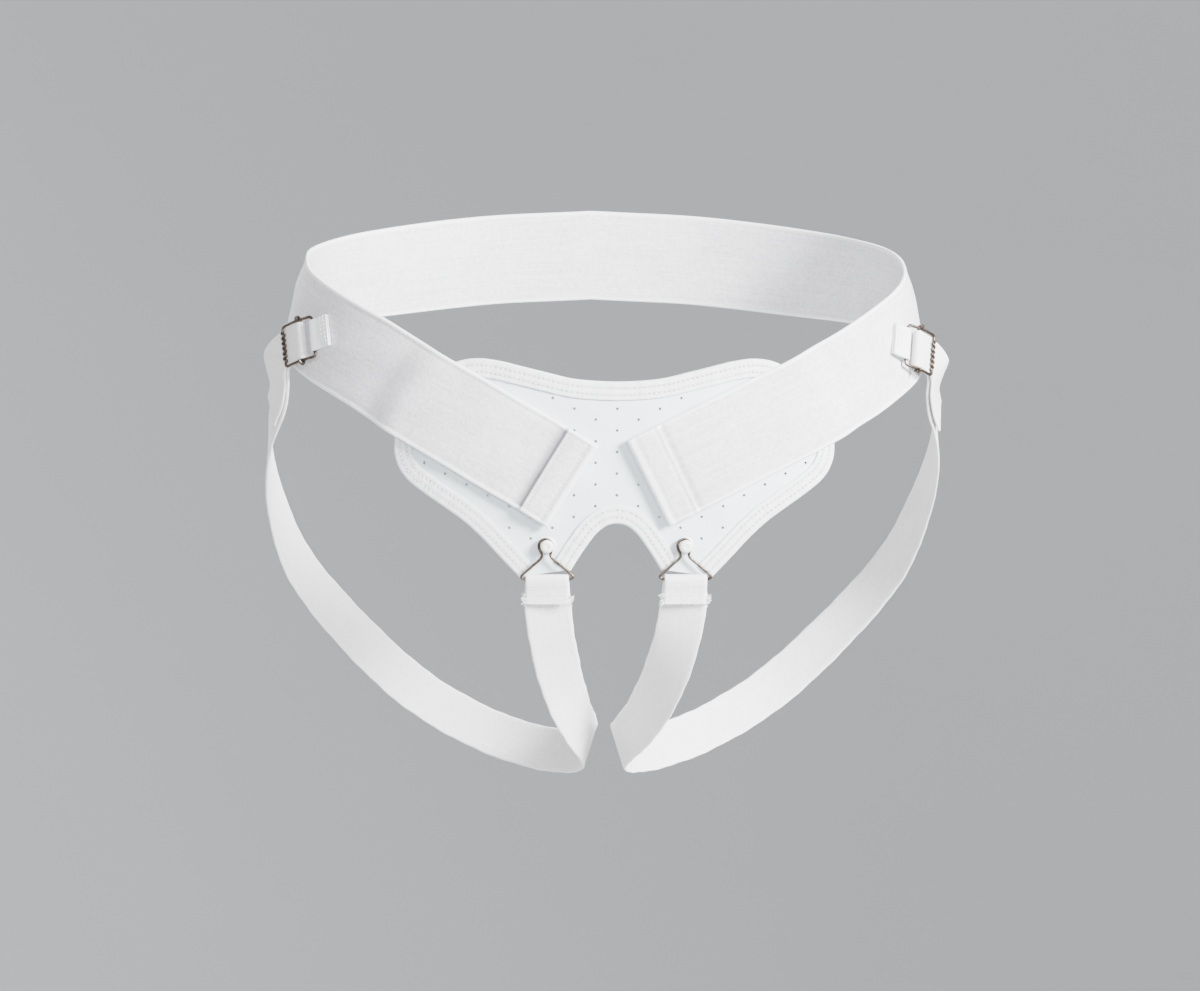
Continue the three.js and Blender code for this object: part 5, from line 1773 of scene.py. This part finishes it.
@dataclass
class HookAndStud:
    """A stud through a lower tip of the panel, and the wire hook that hangs on it."""

    side: Side
    arcs: ArcMap
    pattern: Pattern
    layers: Layers
    finishes: Finishes
    post_diameter: float = 3.0
    head_diameter: float = 6.6
    head_height: float = 2.0
    loop_radius: float = 3.5
    length: float = 16.8
    base_width: float = 26.4
    neck_width: float = 4.4
    neck_place: float = 1.45
    loop_opening: float = 62.0
    lean: float = 1.5
    play: float = 0.8
    stud_sides: int = 56

    # Half outline below the loop: across and down as shares
    OUTLINE = [(0, 1), (0.55, 1), (0.93, 0.995), (1, 0.93), (0.62, 0.645)]

    def __post_init__(self) -> None:
        """Finds the stud's place and directions."""
        height = np.array(self.pattern.stud_height)
        angle = self.arcs.angle(np.array(self.side.value * self.pattern.stud_across), height)
        self.point, self.right, self.up, self.normal = self.arcs.hips.frame(angle, height)

    def hook_point(self, across: Array, rise: Array) -> Array:
        """Points of the hook's plane: across to +X, and up from the stud."""
        lift = self.layers.hook - self.lean * np.asarray(rise) / self.length
        return (
            self.point
            + rows_times(self.right, across)
            + rows_times(self.up, rise)
            + rows_times(self.normal, lift)
        )

    @property
    def bar(self) -> Array:
        """Middle of the hook's base bar."""
        return self.hook_point(np.array(0.0), np.array(-self.length))

    def _outline(self) -> Array:
        """The hook's closed outline in its plane, as across and rise from the stud."""
        half, radius = self.base_width / 2, self.loop_radius
        sides = []
        for sign in (1, -1):
            rows = [(sign * across * half, -down * self.length) for across, down in self.OUTLINE]
            neck = ((sign * self.neck_width - self.play) / 2, -radius * self.neck_place)
            sides.append([*rows, neck])
        turns = np.radians(np.linspace(self.loop_opening - 90, 270 - self.loop_opening, 7))
        loop = [(radius * math.cos(turn) - self.play, radius * math.sin(turn)) for turn in turns]
        return np.array([*sides[0], *loop, *sides[1][:0:-1]])

    def build_hook(self) -> None:
        """Bends the wire hook."""
        flat = self._outline()
        line = evenly(curve_through(self.hook_point(flat[:, 0], flat[:, 1]), 14, closed=True), 0.55)
        shell = wire(line, self.layers.hook_wire, self.normal, True)
        name, node = f"steel_hook_{self.side.label}", f"wire_hook_{self.side.label}"
        make_piece(shell, name, self.finishes.steel, "steel_wire", node)

    def _profile(self) -> Array:
        """The stud's outline as radius and lift, with softened corners."""
        layers = self.layers
        post, flange = self.post_diameter / 2, self.pattern.flange_diameter / 2
        head, low, height = self.head_diameter / 2, layers.stud_head, self.head_height
        crown = [
            (head * math.cos(turn) ** 0.62, low + 0.45 * height + 0.55 * height * math.sin(turn))
            for turn in map(math.radians, np.linspace(0, 90, 9)[:-2])
        ]
        dimple = [(head * 0.42, low + 0.985 * height), (head * 0.34, low + 0.93 * height)]
        return np.array(
            [
                (0.001, 0),
                (flange * 0.96, 0),
                (flange, 0.12),
                (flange, layers.tape - 0.12),
                (flange * 0.96, layers.tape),
                (post, layers.tape),
                (post, layers.patch_lift),
                (flange * 0.97, layers.patch_lift),
                (flange, layers.patch_lift + 0.15),
                (flange * 0.93, layers.flange_top - 0.2),
                (flange * 0.86, layers.flange_top),
                (post * 1.1, layers.flange_top),
                (post, layers.flange_top + 0.15),
                (post, low),
                (head * 0.93, low + 0.05 * height),
                (head, low + 0.2 * height),
                *crown,
                *dimple,
                (0.001, low + 0.9 * height),
            ]
        )

    def build_stud(self) -> None:
        """Turns the stud."""
        profile = self._profile()
        turns = 2 * math.pi * np.arange(self.stud_sides) / self.stud_sides
        rings = (
            self.point
            + profile[None, :, :1] * np.cos(turns)[:, None, None] * self.right
            + profile[None, :, :1] * np.sin(turns)[:, None, None] * self.up
            + profile[None, :, 1:] * self.normal
        )
        name, node = f"stud_{self.side.label}", f"button_stud_{self.side.label}"
        shell = loft(np.swapaxes(rings, 0, 1))
        make_piece(shell, name, self.finishes.moulded, "stud_plastic", node, crease=38)

    def build(self) -> None:
        """Makes the hook and the stud."""
        self.build_hook()
        self.build_stud()


@dataclass
class SideBuckle:
    """The wire buckle on the waistband's side and the webbing that ties it down."""

    side: Side
    arcs: ArcMap
    band: Waistband
    layers: Layers
    finishes: Finishes
    sewing: Sewing
    angle: float = 70.0
    below_middle: float = 2.0
    length: float = 20.0
    wire_diameter: float = 1.6
    slope: float = 18.0
    lift: float = 12.5
    bow: float = 1.2
    corner: float = 1.7
    bar_place: float = 8.4
    teeth: int = 6
    tooth_depth: float = 0.9
    anchor_thickness: float = 0.9
    anchor_length: float = 9.0
    strap_width: float = 20.0
    stitch: Stitch = Stitch(pitch=2.0, length=1.6, width=0.4, seed=23)
    stitch_insets: tuple[float, float] = (1.6, 4.2)
    stitch_lift: float = 0.45

    def __post_init__(self) -> None:
        """Finds the front bar's middle and the directions to the rear, the top and outwards."""
        height = self.band.height(self.side, self.angle) - self.below_middle
        turn = self.side.value * math.radians(self.angle)
        point, right, up, normal = self.arcs.hips.frame(np.array(turn), height)
        rearward = right * self.side.value
        slope, lift = math.radians(self.slope), math.radians(self.lift)
        self.along = rearward * math.cos(slope) - up * math.sin(slope)
        self.top = up * math.cos(slope) + rearward * math.sin(slope)
        self.rear = self.along * math.cos(lift) + normal * math.sin(lift)
        self.out = normal * math.cos(lift) - self.along * math.sin(lift)
        self.normal = normal
        gap = self.layers.gap
        bar_lift = self.layers.band_face + gap + self.anchor_thickness + gap + self.wire_diameter / 2
        self.front = point + normal * bar_lift

    @property
    def half_height(self) -> float:
        """From the middle to a rail's centreline."""
        return self.strap_width / 2 + self.layers.gap + self.wire_diameter / 2

    def rail_rise(self, place: Array | float) -> Array:
        """How far the arched rails stand out at a place along them."""
        return self.bow * np.sin(math.pi * np.asarray(place) / self.length)

    @property
    def bar_depth(self) -> float:
        """Depth of the middle bar, which passes under the rails."""
        return float(self.rail_rise(self.bar_place)) - self.wire_diameter - self.layers.gap

    def point(self, place: Any, height: Any, out: Any) -> Array:
        """Points of the buckle: place from the front bar to the rear, height, and out."""
        return (
            self.front
            + rows_times(self.rear, place)
            + rows_times(self.top, height)
            + rows_times(self.out, out)
        )

    def _outline(self) -> Array:
        """The frame's outline as place and height, with its toothed rear bar."""
        high, corner = self.half_height, self.corner
        far = self.length - corner

        def bend(place: float, height: float, start: float) -> Array:
            """A corner's arc."""
            turns = np.radians(start - np.linspace(0, 90, 8))
            return np.column_stack([place + corner * np.cos(turns), height + corner * np.sin(turns)])

        toothed = high - corner - self.tooth_depth
        rows = np.linspace(1, -1, 97)
        teeth = self.tooth_depth * np.sin(math.pi * self.teeth * (1 - rows))
        rail = np.linspace(corner, far, 14)[1:-1]
        return np.vstack(
            [
                [(0, 0), (0, high * 0.45)],
                bend(corner, high - corner, 180),
                np.column_stack([rail, np.full(len(rail), high)]),
                bend(far, high - corner, 90),
                np.column_stack([self.length + teeth, toothed * rows]),
                bend(far, corner - high, 0),
                np.column_stack([rail[::-1], np.full(len(rail), -high)]),
                bend(corner, corner - high, -90),
                [(0, -high * 0.45)],
            ]
        )

    def _bent(self, line: Array, plane: Array, closed: bool, name: str, node: str) -> None:
        """Makes a piece of bent wire.

        Args:
            line: Points of its centreline.
            plane: The normal of the plane that it lies near.
            closed: True for a ring.
            name: The piece's name, without the side.
            node: The solid that it stands for, without the side.
        """
        shell = wire(line, self.wire_diameter, plane, closed)
        label = self.side.label
        make_piece(shell, f"{name}_{label}", self.finishes.steel, "steel_wire", f"{node}_{label}")

    def build_frame(self) -> None:
        """Bends the frame."""
        flat = self._outline()
        line = self.point(flat[:, 0], flat[:, 1], self.rail_rise(np.clip(flat[:, 0], 0, self.length)))
        line = evenly(np.vstack([line, line[:1]]), 0.42)[:-1]
        self._bent(line, self.out, True, "steel_buckle", "buckle_frame")

    def build_bar(self) -> None:
        """Bends the middle bar, whose ends curl up round the rails."""
        radius = self.wire_diameter + self.layers.gap

        def curl(sign: int) -> Array:
            """The curl round one rail, from under it outwards."""
            centre = self.point(self.bar_place, sign * self.half_height, self.rail_rise(self.bar_place))
            return arc(centre, self.top * sign, self.out, radius, np.linspace(-90, 100, 20))

        middle = self.point(self.bar_place, 0.0, self.bar_depth)
        line = evenly(np.vstack([curl(1)[::-1], [middle], curl(-1)]), 0.45)
        self._bent(line, self.rear, False, "steel_middle_bar", "buckle_bar")

    def build_anchor(self) -> None:
        """Makes the webbing round the front bar, with two rows of stitches."""
        gap, thick = self.layers.gap, self.anchor_thickness
        radius = self.wire_diameter / 2 + gap + thick / 2
        low = self.layers.band_face + gap + thick / 2
        high = low + thick + gap

        def ahead(distance: float, lift: float) -> Array:
            """A point on the waistband in front of the buckle."""
            return self.arcs.hips.laid(self.front - distance * self.along, lift)

        length = self.anchor_length
        turned = arc(self.front, self.along, self.normal, radius, np.linspace(-60, 105, 6))
        keys = np.vstack(
            [
                ahead(length, low),
                ahead(length / 2, low),
                turned,
                ahead(length / 2, high + gap),
                ahead(length, high),
            ]
        )
        line = evenly(curve_through(keys, 12), 0.5)
        width = 2 * (self.half_height - self.wire_diameter / 2 - self.corner)
        across = np.broadcast_to(self.top, line.shape)
        section = RibbonSection(columns=14, edge_steps=3, rim_width=1.2, rim_rise=0.08)
        shell = ribbon(line, across, np.full(len(line), width), thick, section)
        label = self.side.label
        name, node = f"anchor_webbing_{label}", f"anchor_loop_{label}"
        make_piece(shell, name, self.finishes.tape, "binding_tape", node, crease=50)
        heights = np.linspace(-width / 2 + 1, width / 2 - 1, 20)[:, None]
        rows = []
        for inset in self.stitch_insets:
            base = self.front - (length - inset) * self.along + heights * self.top
            rows.append(self.arcs.hips.laid(base, high + thick / 2 + self.stitch_lift))
        normals = [self.arcs.hips.normal_at(row) for row in rows]
        self.sewing.rows(f"anchor_stitches_{label}", rows, normals, self.stitch, "binding_tape")

    def build(self) -> None:
        """Makes the frame, the bar and the webbing."""
        self.build_frame()
        self.build_bar()
        self.build_anchor()


@dataclass
class LegStrap:
    """The elastic from the hook through the crotch round the thigh to the buckle."""

    side: Side
    hips: Hips
    pattern: Pattern
    hook: HookAndStud
    buckle: SideBuckle
    layers: Layers
    finishes: Finishes
    sewing: Sewing
    width: float = 24.0
    width_at_hook: float = 22.0
    thickness: float = 1.3
    flap: float = 13.0
    tail: float = 41.0
    tail_lift: float = 1.1
    drop: float = 217.0
    lead_at_hook: float = 4.0
    lead_at_buckle: float = 6.0
    cad_spacing: float = 11.0
    spacing: float = 1.25
    stitch: Stitch = Stitch(pitch=1.9, length=1.5, width=0.4, seed=31)
    stitch_rows: tuple[float, float] = (4.6, 9.2)
    stitch_lift: float = 0.08
    fray_at_flap: Fray = Fray(length=1.1, width=0.09, pitch=0.4, seed=7)
    fray_at_corners: Fray = Fray(length=2.9, width=0.17, pitch=0.2, seed=17)
    fray_at_tail: Fray = Fray(length=0.9, width=0.08, pitch=0.5, seed=27)
    corner_reach: float = 5.0

    FLAP = [(1, -0.08), (0.72, 0.12), (0.45, 0.54), (0.2, 1.19)]

    # Out, back and down as shares, then where the face looks and how far up, in degrees
    WAY_DOWN = [
        (0.209, -0.826, 0.1365, 2, -8), (0.198, -0.77, 0.29, 6, -14), (0.179, -0.686, 0.442, 14, -20),
        (0.149, -0.559, 0.6135, 30, -26), (0.102, -0.373, 0.792, 55, -25), (0.058, -0.161, 0.907, 80, -20),
        (0.048, 0.068, 0.968, 98, -18), (0.09, 0.28, 1, 118, -18),
    ]
    WAY_UP = [
        (0.19, 0.49, 0.995, 142, -20), (0.358, 0.68, 0.954, 163, -18), (0.567, 0.788, 0.862, 184, -12),
        (0.776, 0.737, 0.714, 208, -4), (0.96, 0.56, 0.539, 232, 2), (1.038, 0.32, 0.382, 252, 4),
        (1.058, 0.085, 0.276, 267, 4), (1.049, -0.09, 0.198, 279, 4), (1.022, -0.215, 0.127, 290, 3),
    ]

    def __post_init__(self) -> None:
        """Works out the room from a wire's centreline to the middle of the strap."""
        self.room_at_bar = self.hook.layers.hook_wire / 2 + self.layers.gap + self.thickness / 2
        self.room_at_buckle = self.buckle.wire_diameter / 2 + self.layers.gap + self.thickness / 2
        self.layer = self.thickness + self.layers.gap

    def _stations(self, start: float, rows: list[tuple[float, ...]]) -> list[tuple[Array, Array]]:
        """Points and faces of a stretch whose way down starts at a height."""
        made = []
        for out, back, down, turn, tilt in rows:
            point = (
                self.side.value * out * self.hips.width / 2,
                back * self.hips.back,
                start - (self.drop + start) * down,
            )
            t, u = math.radians(turn), math.radians(tilt)
            face = (-self.side.value * math.sin(t) * math.cos(u), -math.cos(t) * math.cos(u), math.sin(u))
            made.append((np.array(point), np.array(face)))
        return made

    def _run(self) -> tuple[Array, Array, Array, Array]:
        """Points, across directions, widths and faces from the base bar to the toothed bar."""
        buckle, hook = self.buckle, self.hook
        below = hook.bar - self.room_at_bar * hook.normal
        depth = self.room_at_buckle + self.layer
        stations = [
            (below, hook.normal),
            (below - self.lead_at_hook * hook.up, hook.normal),
            *self._stations(self.pattern.bottom, self.WAY_DOWN),
            *self._stations(0.0, self.WAY_UP),
            (buckle.point(buckle.length + self.lead_at_buckle, 0.0, -depth), buckle.out),
            (buckle.point(buckle.length, 0.0, -depth), buckle.out),
        ]
        fine = curve_through(np.array([point for point, _ in stations]), 40)
        faces = curve_through(np.array([face for _, face in stations]), 40, Spans.EVEN)
        along = tangents(fine)
        lengths = lengths_along(fine)
        count = round(lengths[-1] / self.cad_spacing)
        stops = np.linspace(0, lengths[-1], count + 1)
        points = read_along(fine, lengths, stops)
        along = unit(read_along(along, lengths, stops))
        faces = unit(read_along(faces, lengths, stops))
        faces = unit(faces - along * np.sum(faces * along, axis=1, keepdims=True))
        across = -self.side.value * np.cross(faces, along)
        near_hook = np.maximum(0, 1 - stops / (self.width / 2))
        near_buckle = np.maximum(0, 1 - (lengths[-1] - stops) / (2.5 * self.width))
        widths = (
            self.width
            + (self.width_at_hook - self.width) * near_hook
            + (self.buckle.strap_width - self.width) * near_buckle
        )
        return points, across, widths, faces

    def _keys(self) -> tuple[Array, Array, Array]:
        """Points, across directions and widths of the whole strap, from the flap's end to the tail's."""
        points, across, widths, faces = self._run()
        hook, buckle = self.hook, self.buckle
        flap = np.array(
            [
                hook.bar
                - down * self.flap * hook.up
                + (self.layer - self.room_at_bar + out * self.thickness) * hook.normal
                for down, out in self.FLAP
            ]
        )
        over = arc(hook.bar, hook.normal, hook.up, self.room_at_bar, np.linspace(0, 170, 6))
        bar = buckle.point(buckle.bar_place, 0.0, buckle.bar_depth)
        round_bar = arc(bar, buckle.rear, buckle.out, self.room_at_buckle, np.linspace(-80, -275, 7))
        under = buckle.point(buckle.length, 0.0, -self.room_at_buckle)[None, :]
        steps = np.linalg.norm(points[-2:0:-1] - points[-1:1:-1], axis=1)
        travelled = np.cumsum(steps)
        count = int(np.searchsorted(travelled, self.tail)) + 1
        stand_off = self.layer + self.tail_lift * np.minimum(travelled[:count] / self.tail, 1)
        picked = slice(-2, -2 - count, -1)
        tail = points[picked] + stand_off[:, None] * faces[picked]
        at_hook = len(flap) + len(over)
        at_buckle = len(round_bar) + 1
        return (
            np.vstack([flap, over, points, round_bar, under, tail]),
            np.vstack([
                np.repeat(across[:1], at_hook, axis=0),
                across,
                np.repeat(buckle.top[None, :], at_buckle, axis=0),
                across[picked],
            ]),
            np.concatenate([
                np.full(at_hook, self.width_at_hook),
                widths,
                np.full(at_buckle, self.buckle.strap_width),
                widths[picked],
            ]),
        )

    def build(self) -> None:
        """Makes the strap, the stitches of its flap and its frayed ends."""
        keys, across, widths = self._keys()
        fine = curve_through(keys, 16)
        share = np.linspace(0, len(keys) - 1, len(fine))
        rows = read_along(np.column_stack([across, widths]), np.arange(len(keys)), share)
        whole = evenly(np.column_stack([fine, rows]), self.spacing)
        line, side, width = whole[:, :3], unit(whole[:, 3:6]), whole[:, 6]
        run = lengths_along(line)
        wavy = 0.12 * wave(run, 31) + 0.1 * wave(run, 12.5, 0.4)
        width = width + 2 * wavy * ease(run / 60)
        shell = ribbon(line, side, width, self.thickness, RibbonSection())
        name, node = f"leg_elastic_{self.side.label}", f"leg_strap_{self.side.label}"
        make_piece(shell, name, self.finishes.leg, "leg_elastic", node, crease=50)
        self._sew(line, side)
        self._fray(line, side, width)

    def _sew(self, line: Array, side: Array) -> None:
        """Sews the flap down.

        Args:
            line: Middle of the strap from the flap's end on.
            side: Direction of its width at each point.
        """
        face = unit(np.cross(tangents(line), side))
        outward = np.sign(np.sum(face[4] * self.hook.normal))
        run = lengths_along(line)
        half = self.width_at_hook / 2 - 1.5
        places = np.linspace(-half, half, 24)[:, None]
        lines, normals = [], []
        for inset in self.stitch_rows:
            i = int(np.searchsorted(run, inset))
            out = outward * face[i]
            lines.append(line[i] + places * side[i] + (self.thickness / 2 + self.stitch_lift) * out)
            normals.append(np.broadcast_to(out, lines[-1].shape))
        name = f"flap_stitches_{self.side.label}"
        self.sewing.rows(name, lines, normals, self.stitch, "leg_elastic")

    def _fray(self, line: Array, side: Array, width: Array) -> None:
        """Frays the flap's end, most at its corners, and a little of the tail's end.

        Args:
            line: Middle of the strap from the flap's end to the tail's.
            side: Direction of its width at each point.
            width: Its width at each point.
        """
        along = tangents(line)
        label = self.side.label

        def fray_end(name: str, i: int, out: Array, fray: Fray) -> None:
            """Frays the strap's whole width at its end."""
            places = np.linspace(-width[i] / 2, width[i] / 2, 12)[:, None]
            row = line[i] + places * side[i]
            self.sewing.fray(f"{name}_{label}", [row], [np.broadcast_to(out, row.shape)], fray)

        fray_end("flap_end_fibres", 0, -along[0], self.fray_at_flap)
        reach = np.linspace(0, self.corner_reach, 8)[:, None]
        corners, outs = [], []
        for sign in (-1, 1):
            corners.append(line[0] + sign * (width[0] / 2 - 0.3) * side[0] + reach * along[0])
            outs.append(np.broadcast_to(sign * side[0] - 0.3 * along[0], corners[-1].shape))
        self.sewing.fray(f"flap_corner_fibres_{label}", corners, outs, self.fray_at_corners)
        fray_end("tail_end_fibres", -1, along[-1], self.fray_at_tail)


# Studio


@dataclass(frozen=True)
class Studio:
    """The pale floor that rises into a wall all round, the soft lights and the camera."""

    floor_height: float = -1.15
    floor_radius: float = 4.6
    bend_radius: float = 2.4
    wall_height: float = 6.0
    camera_distance: float = 3.0
    camera_turn: float = -3.5
    camera_height: float = -0.08
    aim: tuple[float, float] = (-0.0021, 0.0)
    focal: float = 169.8
    sensor: float = 36.0
    beam: float = 75.0

    # Name, place and size in metres, power in watts, tint
    LIGHTS = [
        ("main_light", (2.2, -1.9, 1.0), 118.0, 1.0, (0.985, 0.99, 1.0)),
        ("front_light", (-0.2, -3.2, 0.7), 17.0, 1.0, (1.0, 1.0, 1.0)),
        ("left_fill", (-2.3, -1.9, 0.5), 4.0, 1.8, (1.0, 0.92, 0.94)),
        ("top_light", (0.2, 0.3, 2.6), 7.0, 2.2, (1.0, 1.0, 1.0)),
        ("rear_light", (-1.2, 2.6, 1.0), 16.0, 1.8, (1.0, 1.0, 1.0)),
    ]
    AIR = (0.9, 0.92, 0.95, 1.0)
    AIR_STRENGTH = 0.8

    def build_floor(self) -> None:
        """Makes the floor and wall as one turned surface."""
        bend = np.radians(np.linspace(0, 90, 13))
        curve = np.column_stack(
            [
                self.floor_radius + self.bend_radius * np.sin(bend),
                self.floor_height + self.bend_radius * (1 - np.cos(bend)),
            ]
        )
        profile = np.vstack([[(0.6, self.floor_height), (2.4, self.floor_height)], curve])
        profile = np.vstack([profile, [(self.floor_radius + self.bend_radius, self.wall_height)]])
        turns = np.linspace(0, 2 * math.pi, 97)[:-1]
        points = [(0.0, 0.0, self.floor_height)]
        points += [(r * math.cos(t), r * math.sin(t), z) for t in turns for r, z in profile]
        count, rows = len(turns), len(profile)
        faces: list[tuple[int, ...]] = []
        for i in range(count):
            a, b = 1 + i * rows, 1 + (i + 1) % count * rows
            faces.append((0, a, b))
            faces += [(a + j, a + j + 1, b + j + 1, b + j) for j in range(rows - 1)]
        mesh = bpy.data.meshes.new("studio_floor")
        mesh.from_pydata(points, [], faces)
        mesh.shade_smooth()
        floor = add_object("studio_floor", mesh)
        dress(floor, StudioFinish().make())

    def light(self, name: str, place: Colour, power: float, size: float, tint: Colour) -> None:
        """Hangs a square soft light that looks at the belt.

        Args:
            name: The light's name.
            place: Where it hangs.
            power: Its power in watts.
            size: Its side in metres.
            tint: Its colour.
        """
        data = bpy.data.lights.new(name, "AREA")
        data.energy, data.size, data.color = power, size, tint
        data.spread = math.radians(self.beam)
        lamp = add_object(name, data)
        lamp.location = place
        away = Vector(place) - Vector((0, 0, -0.05))
        lamp.rotation_mode = "QUATERNION"
        lamp.rotation_quaternion = away.to_track_quat("Z", "Y")

    def build_lights(self) -> None:
        """Hangs the lights: the main one at the right front, weak ones round it."""
        for row in self.LIGHTS:
            self.light(*row)
        world = bpy.data.worlds.new("studio_air")
        world.use_nodes = True
        shade = world.node_tree.nodes["Background"]
        shade.inputs["Color"].default_value = self.AIR
        shade.inputs["Strength"].default_value = self.AIR_STRENGTH
        bpy.context.scene.world = world

    def build_camera(self) -> None:
        """Stands the camera at the photograph's angle."""
        turn = math.radians(self.camera_turn)
        data = bpy.data.cameras.new("camera")
        data.lens, data.sensor_width = self.focal, self.sensor
        camera = add_object("camera", data)
        back = Vector((math.sin(turn), -math.cos(turn), 0))
        middle = Vector((self.aim[0], self.aim[1], self.camera_height))
        camera.location = middle + back * self.camera_distance
        camera.rotation_mode = "QUATERNION"
        camera.rotation_quaternion = back.to_track_quat("Z", "Y")
        bpy.context.scene.camera = camera

    def build(self) -> None:
        """Makes the floor, the lights and the camera."""
        self.build_floor()
        self.build_lights()
        self.build_camera()


def main() -> None:
    """Builds the belt round its solids, then the studio."""
    logging.basicConfig(level=logging.INFO, format="%(message)s")
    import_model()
    hips = Hips()
    arcs = ArcMap(hips)
    pattern = Pattern()
    layers = Layers()
    finishes = Finishes()
    sewing = Sewing(finishes)
    FrontPanel(arcs, pattern, layers, finishes, sewing).build()
    band = Waistband(arcs, pattern, layers, finishes, sewing)
    band.build()
    for side in Side:
        hook = HookAndStud(side, arcs, pattern, layers, finishes)
        hook.build()
        buckle = SideBuckle(side, arcs, band, layers, finishes, sewing)
        buckle.build()
        LegStrap(side, hips, pattern, hook, buckle, layers, finishes, sewing).build()
    Studio().build()


if __name__ == "__main__":
    main()
